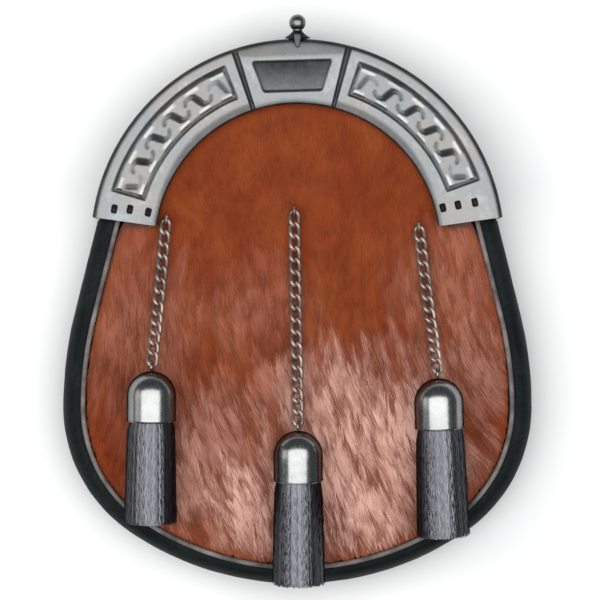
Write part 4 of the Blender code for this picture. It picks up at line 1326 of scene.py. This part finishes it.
def panel_marks(turn, radius):
    """Depth of the knot and the moat round it, the bars, and where the panel's top is."""
    first, last = FIELD_ANGLES
    inside = np.minimum(radius - FIELD_RADII[0], FIELD_RADII[1] - radius)
    inside = np.minimum(inside, np.minimum(turn - first, last - turn) * radius)
    moat = np.clip(1.0 - np.abs(inside - MOAT_HALF) / MOAT_REACH, 0.0, 1.0) ** GROOVE_POWER
    panel = smooth_step((inside - MOAT_HALF) / MOAT_HALF)
    cut, bar = knot_marks(turn, radius)
    return np.maximum(MOAT_SHARE * moat, cut * panel), bar * panel, panel


def pocket_marks(angle, radius):
    """Depth of the pockets, which run out towards the arms' ends."""
    depth = np.zeros_like(radius)
    across, along = POCKET_HALF
    for turned, place in POCKETS:
        away = math.copysign(1.0, turned) * (angle - math.radians(turned)) * radius
        pocket = within(radius, place - across, place + across, POCKET_EDGE)
        pocket = pocket * within(away, -along, along, POCKET_EDGE)
        run_out = np.interp(away, (-along, along), (1.0, POCKET_FOOT))
        depth = np.maximum(depth, POCKET_DEPTH * pocket * run_out)
    return depth


def block_marks(angle, radius):
    """How much of the sunk block's depth each place has, its share up it, and how far above."""
    x, y = radius * np.sin(angle), radius * np.cos(angle)
    (top_half, top), (foot_half, foot) = BLOCK_TOP, BLOCK_FOOT
    share = (y - foot) / (top - foot)
    half = lerp((foot_half, top_half), share)
    block = within(x, -half, half, BLOCK_EDGE) * within(y, foot, top, BLOCK_EDGE)
    return block, share, y - top


def cantle_front(angle, radius):
    """Height of the cantle's front and its tone, 0 in a recess and 1 on top, with patina in the
    hollows, painted highlights on the bars, painted shade on the crest and along the edges, and a
    painted reflection on the block.
    """
    sunk = pocket_marks(angle, radius)
    angle = angle + RELIEF_TURN
    turn = np.abs(angle)
    cut, bar, panel = panel_marks(turn, radius)
    for field, edge in zip(FIELD_RADII, (CANTLE_INNER, CANTLE_OUTER)):
        sunk = sunk + RIM_CROWN * np.clip((radius - field) / (edge - field), 0.0, 1.0) ** 2
    groove = within(turn * radius, *(a * radius for a in GROOVE_ANGLES), GROOVE_EDGE)
    sunk = sunk + GROOVE_DEPTH * groove
    level = np.clip(1.0 - sunk / PATINA_DEPTH, 0.0, 1.0) * (1.0 - KNOT_PATINA * cut)
    # the raised bars get a painted highlight
    relief_and_painted_light = lerp((lerp((RIM_RELIEF, PANEL_TONE), panel), PAINTED_BAR_HIGHLIGHT), bar) * level
    block, share, above = block_marks(angle, radius)
    # Painted shade on the rim above the block
    crest_shade = smooth_step(above / CREST_EDGE) * (turn < GROOVE_ANGLES[0])
    relief_and_painted_light = relief_and_painted_light * (1.0 - PAINTED_CREST_SHADE * crest_shade)
    # Painted reflection on the sunk block: lighter at its foot, darker at its top
    relief_and_painted_light = lerp((relief_and_painted_light, lerp(PAINTED_BLOCK_TONES, share)), smooth_step(2.0 * block))
    # Painted shade along the outer edge and the inner bevel
    for starts, width, tone in PAINTED_EDGE_SHADE:
        start = np.interp(np.degrees(turn), *np.array(starts).T)
        relief_and_painted_light = lerp((relief_and_painted_light, tone), smooth_step((radius - start) / width))
    crown = BLOCK_CROWN * (1.0 - (2.0 * share - 1.0) ** 2)
    sunk = sunk + (BLOCK_DEPTH - crown) * block + PANEL_DROP * panel - BAR_RISE * bar
    sunk = sunk + sizes().knot_depth * cut
    for edge, size in ((CANTLE_OUTER - radius, OUTER_ROUND), (radius - CANTLE_INNER, INNER_ROUND)):
        short = np.clip(size - edge, 0.0, size)
        sunk = sunk + size - np.sqrt(size**2 - short**2)
    return FRONT_Z - sunk, relief_and_painted_light


def arc_edges(bm, radius):
    """The boundary edges that lie on an arc of this radius."""
    on_arc = {vert for vert in bm.verts if abs((vert.co - CENTRE).xy.length - radius) < WELD}
    return [edge for edge in bm.edges if edge.is_boundary and on_arc.issuperset(edge.verts)]


def set_ring(edges, radius=None, z=None):
    for vert in {vert for edge in edges for vert in edge.verts}:
        offset = vert.co - CENTRE
        if radius is not None:
            offset.xy = offset.xy.normalized() * radius
        if z is not None:
            offset.z = z
        vert.co = CENTRE + offset


def cantle_mesh():
    """A fine grid bent to the arc and raised to the cast ornament, with a flange folded down."""
    bm = bmesh.new()
    angle_steps, radius_steps = GRID_STEPS
    bmesh.ops.create_grid(bm, x_segments=angle_steps, y_segments=radius_steps, size=0.5)
    layer = bm.verts.layers.float.new("relief_and_painted_light")
    grid = np.array([vert.co for vert in bm.verts])
    angle = 2.0 * ARM_END * grid[:, 0]
    radius = CANTLE_INNER + (CANTLE_OUTER - CANTLE_INNER) * (grid[:, 1] + 0.5)
    height, relief_and_painted_light = cantle_front(angle, radius)
    for k, vert in enumerate(bm.verts):
        vert.co = polar(radius[k], angle[k], height[k])
        vert[layer] = relief_and_painted_light[k]
    outer = arc_edges(bm, CANTLE_OUTER)
    for place in ({"z": JOIN_Z}, {"radius": FLANGE_INNER}, {"z": PLATE_BACK_Z}):
        outer = moved_ring(bm, outer)
        set_ring(outer, **place)
    inner = moved_ring(bm, arc_edges(bm, CANTLE_INNER))
    set_ring(inner, z=PLATE_BACK_Z)
    bmesh.ops.bridge_loops(bm, edges=outer + inner)
    for vert in bm.verts:
        if vert.co.z < FRONT_Z - PATINA_DEPTH - INNER_ROUND:
            vert[layer] = EDGE_RELIEF
    close_holes(bm)
    return finish_mesh(bm, CANTLE_SHARP, CANTLE_WELD)


class SPORRAN_OT_cantle(bpy.types.Operator):
    """Models the cast cantle with its knot panels, block and pockets"""

    bl_idname = "sporran.cantle"
    bl_label = "Cantle"

    def execute(self, context):
        silver = silver_material("antique_silver")
        link_piece(cantle_mesh(), "cast_cantle", silver, ["cantle"])
        return {"FINISHED"}


# -------------------------------- rear frame

FRAME_OUTER = 0.0792
FRAME_INNER = 0.0660
FRAME_PLATE = 0.0030
FRAME_STEPS = 120
FRAME_BEVEL = 0.0005


def frame_mesh():
    """A section of plate and flange, spun from arm to arm."""
    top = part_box("rear_frame")[1].z
    section = (
        (FRAME_INNER, 0.0),
        (FRAME_INNER, FRAME_PLATE),
        (FLANGE_INNER, FRAME_PLATE),
        (FLANGE_INNER, top),
        (FRAME_OUTER, top),
        (FRAME_OUTER, 0.0),
    )
    bm = bmesh.new()
    verts = [bm.verts.new(polar(radius, -ARM_END, z)) for radius, z in section]
    bm.faces.new(verts)
    round_off(bm, [verts[-1], verts[0]], FRAME_BEVEL, 3, "VERTICES")
    bmesh.ops.delete(bm, geom=bm.faces[:], context="FACES_ONLY")
    bmesh.ops.spin(bm, geom=bm.verts[:] + bm.edges[:], cent=CENTRE, axis=-UP,
                   angle=2.0 * ARM_END, steps=FRAME_STEPS)
    close_holes(bm)
    return finish_mesh(bm)


class SPORRAN_OT_rear_frame(bpy.types.Operator):
    """Models the rear frame and finishes its hinge pins and the clasp's bracket"""

    bl_idname = "sporran.rear_frame"
    bl_label = "Rear frame"

    def execute(self, context):
        steel = metal_material("dark_steel", colours().steel, ROUGHNESS["steel"])
        link_piece(frame_mesh(), "plain_rear_frame", steel, ["rear_frame"])
        for name in ("hinge_pin_left", "hinge_pin_right", "clasp_bracket"):
            finish_node(name, steel)
        return {"FINISHED"}


# -------------------------------- clasp

STEM_Z = 0.0262
BALL_Y = 0.0857
BALL_RADIUS = 0.0032
BALL_STEPS = 12
STEM_ROWS = (
    # y up the stem, radius
    (0.0797, 0.0048),
    (0.0801, 0.0047),
    (0.0806, 0.0038),
    (0.0815, 0.0027),
    (0.0822, 0.0020),
    (0.0826, 0.0018),
    (0.0829, 0.0019),
)
TURNED_STEPS = 40
NIB_ROWS = (
    # half-width, y
    (0.0014, 0.0812),
    (0.0013, 0.0790),
    (0.0009, 0.0772),
    (0.0005, 0.0761),
)
NIB_Z = (FRONT_Z + 0.0003, FRONT_Z + 0.0018)
SLAB_BEVEL = 0.0003
ARM_HALF = 0.00135
ARM_Y = (0.07985, 0.0816)
ARM_OVERLAP = 0.0008  # of the arm into the nib
KNUCKLE_RADII = (0.0009, 0.0014)
KNUCKLE_HALF = 0.0015
CLASP_PAINTED_TONES = (0.12, 0.60, 0.24)  # painted shade on the stem, foot, arm and the nib's sides; the ball; a painted highlight on the nib's top
BALL_BLEND = 0.001
NIB_BLEND = 0.0001


def add_slab(bm, outline, depth):
    """A plate with its edges rounded, added to what is there."""
    part = bmesh.new()
    add_plate(part, outline, depth)
    round_off(part, part.edges[:], SLAB_BEVEL)
    mesh = as_mesh(part)
    bm.from_mesh(mesh)
    bpy.data.meshes.remove(mesh)


def lever_mesh():
    """Ball and stem turned in one, with a nib over the cantle and an arm to the pivot."""
    pivot = Vector(frame["joints"][0]["pos_m"])
    bm = bmesh.new()
    rows = [(0.0, STEM_ROWS[0][0]), *[(radius, y) for y, radius in STEM_ROWS]]
    neck = math.asin(STEM_ROWS[-1][1] / BALL_RADIUS)
    for angle in spread(math.pi - neck, 0.0, BALL_STEPS):
        rows.append((BALL_RADIUS * math.sin(angle), BALL_Y + BALL_RADIUS * math.cos(angle)))
    place = Matrix.Translation(CENTRE + UP * STEM_Z)
    add_spun(bm, rows, TURNED_STEPS, place)

    outline = [*NIB_ROWS, *[(-half, y) for half, y in NIB_ROWS[::-1]]]
    add_slab(bm, [CENTRE + Vector((x, y, NIB_Z[0])) for x, y in outline], NIB_Z[1] - NIB_Z[0])
    low, high = ARM_Y
    corners = ((-ARM_HALF, low), (ARM_HALF, low), (ARM_HALF, high), (-ARM_HALF, high))
    arm = [CENTRE + Vector((x, y, pivot.z)) for x, y in corners]
    add_slab(bm, arm, NIB_Z[0] + ARM_OVERLAP - pivot.z)

    inner, outer = KNUCKLE_RADII
    half = KNUCKLE_HALF
    ring = ((-half, inner), (-half, outer), (half, outer), (half, inner), (-half, inner))
    add_spun(bm, ring, TURNED_STEPS, Matrix.Translation(pivot), (1.0, 0.0, 0.0))
    return finish_mesh(bm)


class SPORRAN_OT_clasp(bpy.types.Operator):
    """Models the clasp's lever with its ball, stem, nib and knuckle"""

    bl_idname = "sporran.clasp"
    bl_label = "Clasp"

    def execute(self, context):
        mesh = lever_mesh()
        places = np.array([vert.co for vert in mesh.vertices])
        painted_shade_tone, on_ball, nib_top_highlight = CLASP_PAINTED_TONES
        ball = smooth_step((places[:, 1] - CENTRE.y - STEM_ROWS[-3][0]) / BALL_BLEND)
        nib = smooth_step((places[:, 2] - NIB_Z[1] + NIB_BLEND) / NIB_BLEND)
        # Painted shade darkens the stem and foot, and a painted highlight lightens the nib's top
        add_values(mesh, "relief_and_painted_light", painted_shade_tone + np.maximum(on_ball * ball, nib_top_highlight * nib))
        silver = silver_material("clasp_silver")
        link_piece(mesh, "ball_lever", silver, ["clasp_lever"], LEVER)
        return {"FINISHED"}


# -------------------------------- chains

LINK_PITCH = 0.0047
LINK_OVERLAP = 0.00122
LINK_HALF_WIDTH = 0.00172
LINK_TWIST = 0.00104
LINK_WIRE = 0.00076
LINK_SECTIONS = 18
LINK_SIDES = 7
SLICE_HALF = 0.55  # of a link's pitch
SLICES_LEAST = 4
CHAIN_DIGITS = 7  # places that a vertex is rounded to, so that doubles count once


def link_base(half_length):
    """One oval link of round wire, twisted so that its neighbours pass through it."""
    points = []
    for turn in spread(0.0, TURN, LINK_SECTIONS)[:-1]:
        x, y = LINK_HALF_WIDTH * math.cos(turn), half_length * math.sin(turn)
        points.append(Vector((x, y, LINK_TWIST * math.sin(2.0 * turn))))
    bm = bmesh.new()
    add_tube(bm, path_frames(points, closed=True), LINK_WIRE, LINK_SIDES, closed=True)
    bmesh.ops.recalc_face_normals(bm, faces=bm.faces)
    return bm


def chain_line(name):
    """The middle line of a packed chain, from its vertices in slices along y."""
    mesh = frame["nodes"][name].data
    points = np.unique(np.round([vert.co for vert in mesh.vertices], CHAIN_DIGITS), axis=0)
    low, high = points[:, 1].min() + LINK_WIRE, points[:, 1].max() - LINK_WIRE
    count = max(SLICES_LEAST, round((high - low) / LINK_PITCH))
    line = []
    for y in np.linspace(high, low, count + 1):
        near = points[np.abs(points[:, 1] - y) < SLICE_HALF * LINK_PITCH]
        slope = np.polyfit(near[:, 1], near[:, [0, 2]], 1)
        x, z = slope[0] * y + slope[1]
        line.append(Vector((x, y, z)))
    return line


def chain_mesh(name):
    """Links at equal steps along the chain's line, each overlapping the next."""
    line = chain_line(name)
    reach = reach_along(line)
    count = round((reach[-1] - LINK_OVERLAP) / LINK_PITCH)
    pitch = (reach[-1] - LINK_OVERLAP) / count
    half = 0.5 * (pitch + LINK_OVERLAP)
    places = []
    for k in range(count):
        middle, ahead = point_at(line, reach, half + k * pitch)
        across = ahead.cross(UP).normalized()
        places.append(placed(middle, across, ahead, across.cross(ahead)))
    return copies_mesh(link_base(half), places)


class SPORRAN_OT_chains(bpy.types.Operator):
    """Models the three chains link by link and finishes their eyes"""

    bl_idname = "sporran.chains"
    bl_label = "Chains"

    def execute(self, context):
        # The chain colour's warmth is partly a painted reflection of the hide
        chrome = metal_material("chain_chrome", colours().chain, ROUGHNESS["chain"], CHAIN_DULLING)
        for side in SIDES:
            name = f"chain_{side}"
            link_piece(chain_mesh(name), f"links_{side}", chrome, [name])
            finish_node(f"chain_eye_{side}", chrome)
        return {"FINISHED"}


# -------------------------------- caps and tassels

HANGERS = {
    # pole of the cap from the cantle's centre, direction of the tassel, its length in plan
    "left": ((-0.0556, -0.0479, 0.04471), (-0.01031, -0.99526, -0.09669), 0.0579),
    "centre": ((0.0002, -0.0706, 0.04638), (0.00507, -0.98743, -0.15799), 0.0584),
    "right": ((0.0535, -0.0506, 0.04504), (0.03794, -0.99297, -0.11215), 0.0602),
}
CAP_LENGTH = 0.0190
CAP_RADIUS = 0.0094
CAP_WALL = 0.0010
CAP_DOME_STEPS = 12
CAP_SIDE_STEPS = 4
CAP_STEPS = 64
CAP_BEAD = 0.00028
BEAD_SET_IN = 0.4  # of the bead's radius, as are the next two
SIDE_END = 0.2
BEAD_END = 0.5
BEAD_STEPS = 4
INNER_DOME_STEPS = 6
EYE_RADIUS = 0.0019
EYE_RISE = 0.0017
EYE_WIRE = 0.0005
EYE_SECTIONS = 20
EYE_SIDES = 8
TASSEL_SEED = 5
TASSEL_SHELLS = (
    # share of the radius, strands
    (1.00, 220),
    (0.93, 160),
    (0.85, 90),
)
END_SHELLS = (
    (0.77, 85),
    (0.68, 76),
    (0.59, 66),
    (0.50, 55),
    (0.41, 46),
    (0.32, 36),
    (0.23, 26),
    (0.14, 16),
    (0.06, 7),
)
END_FILL = 0.0060  # length of the short strands below the core
END_STATIONS = 8
TASSEL_ROWS = (
    # distance from the cap's pole, radius
    (0.0150, 0.0076),
    (0.0193, 0.0083),
    (0.0203, 0.0090),
    (0.0222, 0.0092),
    (0.0350, 0.0096),
    (0.0530, 0.0101),
)
FREE_FROM = 0.02  # distance past which the rows are stretched to the tassel's length
STRAND_STATIONS = 30
STRAND_SIDES = 3
STRAND_FLATNESS = 0.09
STRAND_STRAY = 0.02  # radians from its even place in the shell
STRAND_SHARES = (0.975, 1.015)  # of the shell's radius
STRAND_WIDTHS = (0.8, 1.3)
LEAST_RADIUS = 1e-4
STRAND_TIP = (0.97, 0.6)  # share of the length where the tip starts, and its width there
CRIMP = (0.00014, 0.00038)  # of a strand's wave, least and most
CRIMP_LENGTH = (0.0050, 0.0078)
CRIMP_START = 0.010
BUNCHES = 17.0  # round the tassel, whose strands wave together
BUNCH_SCATTER = (12.99, 43.7)  # sets the bunches' phases far apart
PHASE_SPREAD = 0.5
PUFF = (0.3, 1.7)  # of the wave in and out: its share of the sway, and its shift
CORE_SHARE = 0.80
CORE_SIDES = 24
CORE_ROOT = ((0.0, 0.0062), (0.0050, 0.0062), (0.0072, 0.0100))  # radius, distance in the cap
END_RAGGED = 0.0010


def hanger_place(side):
    """A matrix whose y runs down the tassel from the cap's pole, and the tassel's length."""
    pole, along, plan = HANGERS[side]
    along = Vector(along)
    across = along.cross(UP).normalized()
    place = placed(CENTRE + Vector(pole), across, along, across.cross(along))
    return place, plan / along.xy.length


def arc_rows(radius, middle, first, last, steps):
    """Rows of radius and distance on an arc; its angles are from the way back to the pole."""
    across, along = middle
    return [(across + radius * math.sin(angle), along - radius * math.cos(angle))
            for angle in spread(first, last, steps)]


def cap_rows():
    """The cap's section from its pole down the outside, round the bead and up the inside."""
    quarter = math.pi / 2
    inner = CAP_RADIUS - CAP_WALL
    bead = CAP_LENGTH - 2.0 * CAP_BEAD
    rows = arc_rows(CAP_RADIUS, (0.0, CAP_RADIUS), 0.0, quarter, CAP_DOME_STEPS)
    sides = spread(CAP_RADIUS, bead - CAP_BEAD, CAP_SIDE_STEPS)[1:]
    rows += [(CAP_RADIUS, along) for along in (*sides, bead - SIDE_END * CAP_BEAD)]
    middle = (CAP_RADIUS - BEAD_SET_IN * CAP_BEAD, CAP_LENGTH - CAP_BEAD)
    rows += arc_rows(CAP_BEAD, middle, 0.0, math.pi, BEAD_STEPS)
    rows.append((inner, CAP_LENGTH - BEAD_END * CAP_BEAD))
    return rows + arc_rows(inner, (0.0, CAP_RADIUS), quarter, 0.0, INNER_DOME_STEPS)


def cap_mesh(place):
    """A bell turned from one profile, with a ring at its pole."""
    bm = bmesh.new()
    add_spun(bm, cap_rows(), CAP_STEPS, place)
    ring = []
    for turn in spread(0.0, TURN, EYE_SECTIONS)[:-1]:
        offset = Vector((0.0, math.cos(turn), math.sin(turn))) * EYE_RADIUS
        ring.append(Vector((0.0, -EYE_RISE, 0.0)) + offset)
    frames = path_frames(ring, Vector((1.0, 0.0, 0.0)), closed=True)
    add_tube(bm, [place @ item for item in frames], EYE_WIRE, EYE_SIDES, closed=True)
    return finish_mesh(bm)


def radius_along(distance, length):
    rows = np.array(TASSEL_ROWS)
    scale = np.where(rows[:, 0] > FREE_FROM, length / rows[-1, 0], 1.0)
    return np.interp(distance, rows[:, 0] * scale, rows[:, 1])


def strand_faces(stations):
    """The faces of one strand, from its closed top to its closed tip."""
    faces = [[2, 1, 0]]
    for low in range(0, (stations - 1) * STRAND_SIDES, STRAND_SIDES):
        high = low + STRAND_SIDES
        for k in range(STRAND_SIDES):
            n = (k + 1) % STRAND_SIDES
            faces.append([low + k, low + n, high + n, high + k])
    return [*faces, [high, high + 1, high + 2]]


def strand_roots(length, shells, rng):
    """The angle, the share of the radius and the end of each strand of the shells."""
    share = np.concatenate([np.full(count, part) for part, count in shells])
    angle = np.concatenate([TURN * (np.arange(n) + rng.uniform(0.0, 1.0)) / n for _, n in shells])
    angle += rng.normal(0.0, STRAND_STRAY, len(share))
    share = share * rng.uniform(*STRAND_SHARES, len(share))
    end = length - END_RAGGED * rng.uniform(0.0, 1.0, len(share)) ** 2
    return angle, share, end


def crimp_waves(along, start, angle, rng):
    """How far each strand waves sideways and outwards at its stations."""
    count = len(along)
    bunch = np.floor(angle / TURN * BUNCHES)
    scale, reach = BUNCH_SCATTER
    phase = np.sin(bunch * scale) * reach % 1.0 * TURN + rng.normal(0.0, PHASE_SPREAD, count)
    phase = phase[:, None]
    swing = rng.uniform(*CRIMP, count)[:, None] * smooth_step((along - start) / CRIMP_START)
    pace = TURN / rng.uniform(*CRIMP_LENGTH, count)[:, None]
    share, shift = PUFF
    sway = swing * np.sin(pace * along + phase)
    return sway, share * swing * np.cos(pace * along + shift * phase)


def strand_points(length, shells, start, stations, rng):
    """Points of crimped strands: for each strand, the corners of its stations."""
    angle, share, end = strand_roots(length, shells, rng)
    steps = np.linspace(0.0, 1.0, stations)
    along = start + (end - start)[:, None] * steps
    sway, puff = crimp_waves(along, start, angle, rng)
    radius = radius_along(along, length) * share[:, None] - puff
    turn = angle[:, None] + sway / np.maximum(radius, LEAST_RADIUS)
    sine, cosine, none = np.sin(turn), np.cos(turn), np.zeros_like(turn)
    middle = np.stack((radius * sine, along, radius * cosine), axis=-1)
    outward = np.stack((sine, none, cosine), axis=-1)
    level = np.stack((cosine, none, -sine), axis=-1)
    taper = np.where(steps > STRAND_TIP[0], STRAND_TIP[1], 1.0)[None, :, None]
    wire = sizes().tassel_strand * rng.uniform(*STRAND_WIDTHS, (len(share), 1, 1)) * taper
    sides = []
    for around in spread(0.0, TURN, STRAND_SIDES)[:-1]:
        section = outward * (STRAND_FLATNESS * math.cos(around)) + level * math.sin(around)
        sides.append(middle + wire * section)
    return np.stack(sides, axis=2).reshape(len(share), -1, 3)


def tassel_mesh(place, length, seed, shells, start, stations):
    """Crimped strands of three sides in shells, each a closed spindle."""
    rng = np.random.default_rng(seed)
    points = strand_points(length, shells, start, stations, rng)
    matrix = np.array(place)
    mesh = joined_mesh(points @ matrix[:3, :3].T + matrix[:3, 3], strand_faces(stations))
    strands, stride = points.shape[:2]
    add_values(mesh, "strand_shade", np.repeat(rng.uniform(0.0, 1.0, strands), stride))
    mesh.shade_flat()
    return mesh


def core_mesh(place, length):
    """The solid middle of a tassel, which ends above the short strands."""
    rows = [*CORE_ROOT, *[(CORE_SHARE * radius, along) for along, radius in TASSEL_ROWS[1:-1]]]
    tip = length - END_FILL + END_RAGGED
    rows += [(CORE_SHARE * TASSEL_ROWS[-1][1], tip), (0.0, tip)]
    bm = bmesh.new()
    add_spun(bm, rows, CORE_SIDES, place)
    mesh = finish_mesh(bm)
    add_values(mesh, "strand_shade", np.zeros(len(mesh.vertices)))
    return mesh


class SPORRAN_OT_caps(bpy.types.Operator):
    """Turns the three bell caps with their rings"""

    bl_idname = "sporran.caps"
    bl_label = "Tassel caps"

    def execute(self, context):
        colour = colours().cap
        chrome = metal_material("cap_chrome", colour, ROUGHNESS["cap"], CAP_DULLING, edge=0.0)
        for side in SIDES:
            mesh = cap_mesh(hanger_place(side)[0])
            name = f"tassel_cap_{side}"
            link_piece(mesh, f"bell_{side}", chrome, [name])
        return {"FINISHED"}


class SPORRAN_OT_tassels(bpy.types.Operator):
    """Makes the three hair tassels of crimped strands round a core"""

    bl_idname = "sporran.tassels"
    bl_label = "Tassels"

    def execute(self, context):
        hair = tassel_material()
        for seed, side in enumerate(SIDES, TASSEL_SEED):
            place, length = hanger_place(side)
            top = TASSEL_ROWS[0][0]
            strands = tassel_mesh(place, length, seed, TASSEL_SHELLS, top, STRAND_STATIONS)
            name = f"tassel_{side}"
            link_piece(strands, f"strands_{side}", hair, [name])
            top = length - END_FILL
            ends = tassel_mesh(place, length, seed, END_SHELLS, top, END_STATIONS)
            link_piece(ends, f"strand_ends_{side}", hair)
            core = core_mesh(place, length)
            link_piece(core, f"tassel_core_{side}", hair)
        return {"FINISHED"}


# -------------------------------- stage

FLOOR_SIZE = 6.0
PHOTO_PIXELS = 600.0
METRES_A_PIXEL = 0.0003835
PHOTO_CENTRE_PIXEL = (297.5, 246.0)  # of the cantle's arc
LENS = 400.0
SENSOR = 36.0
AIM_Z = 0.028
WORLD = (0.85, 0.92, 1.0)
WORLD_STRENGTH = 0.12
LIGHTS = (
    # name, place, aim, width, height, watts, colour
    ("overhead", (-0.35, -0.05, 2.80), (-0.35, -0.05, 0.0), 5.6, 3.2, 178.0, (1.0, 1.0, 1.0)),
    ("left", (-2.60, 0.20, 1.10), (0.0, 0.0, 0.0), 1.6, 1.2, 8.0, (1.0, 0.98, 0.95)),
)


def add_light(name, place, aim, width, height, watts, colour):
    data = bpy.data.lights.new(name, "AREA")
    data.shape = "RECTANGLE"
    data.size = width
    data.size_y = height
    data.energy = watts
    data.color = colour
    light = bpy.data.objects.new(name, data)
    light.location = place
    light.rotation_euler = (Vector(aim) - Vector(place)).to_track_quat("-Z", "Y").to_euler()
    bpy.context.scene.collection.objects.link(light)


class SPORRAN_OT_stage(bpy.types.Operator):
    """Adds the pale floor, soft lights and the camera straight above"""

    bl_idname = "sporran.stage"
    bl_label = "Stage"

    def execute(self, context):
        bm = bmesh.new()
        bmesh.ops.create_grid(bm, x_segments=1, y_segments=1, size=0.5 * FLOOR_SIZE)
        mesh = as_mesh(bm)
        mesh.materials.append(floor_material())
        floor = bpy.data.objects.new("floor", mesh)
        context.scene.collection.objects.link(floor)
        world = bpy.data.worlds.new("studio")
        world.use_nodes = True
        background = world.node_tree.nodes["Background"]
        background.inputs["Color"].default_value = (*WORLD, 1.0)
        background.inputs["Strength"].default_value = WORLD_STRENGTH
        context.scene.world = world
        for row in LIGHTS:
            add_light(*row)
        data = bpy.data.cameras.new("camera")
        data.lens = LENS
        data.sensor_width = SENSOR
        camera = bpy.data.objects.new("camera", data)
        middle = 0.5 * PHOTO_PIXELS
        x = (middle - PHOTO_CENTRE_PIXEL[0]) * METRES_A_PIXEL
        y = CENTRE.y - (middle - PHOTO_CENTRE_PIXEL[1]) * METRES_A_PIXEL
        away = PHOTO_PIXELS * METRES_A_PIXEL * LENS / SENSOR
        camera.location = (x, y, AIM_Z + away)
        context.scene.collection.objects.link(camera)
        context.scene.camera = camera
        context.scene.view_settings.view_transform = "Standard"
        return {"FINISHED"}


# -------------------------------- panel


class SPORRAN_PT_finish(bpy.types.Panel):
    """Lists the sizes, colours and steps of the sporran's finish"""

    bl_idname = "SPORRAN_PT_finish"
    bl_label = "Dress sporran"
    bl_space_type = "VIEW_3D"
    bl_region_type = "UI"
    bl_category = "Sporran"

    def draw(self, context):
        for group in (context.scene.sporran_sizes, context.scene.sporran_colours):
            for name in group.__annotations__:
                self.layout.prop(group, name)
        for step in STEPS:
            self.layout.operator(step.bl_idname)


STEPS = (
    SPORRAN_OT_stage,
    SPORRAN_OT_leather_body,
    SPORRAN_OT_hide_front,
    SPORRAN_OT_piping,
    SPORRAN_OT_cantle,
    SPORRAN_OT_rear_frame,
    SPORRAN_OT_clasp,
    SPORRAN_OT_chains,
    SPORRAN_OT_caps,
    SPORRAN_OT_tassels,
)
CLASSES = (SporranSizes, SporranColours, *STEPS, SPORRAN_PT_finish)


def register():
    for item in CLASSES:
        bpy.utils.register_class(item)
    bpy.types.Scene.sporran_sizes = bpy.props.PointerProperty(type=SporranSizes)
    bpy.types.Scene.sporran_colours = bpy.props.PointerProperty(type=SporranColours)


def unregister():
    del bpy.types.Scene.sporran_colours
    del bpy.types.Scene.sporran_sizes
    for item in reversed(CLASSES):
        bpy.utils.unregister_class(item)


def main():
    register()
    for step in STEPS:
        group, name = step.bl_idname.split(".")
        getattr(getattr(bpy.ops, group), name)()


if __name__ == "__main__":
    main()
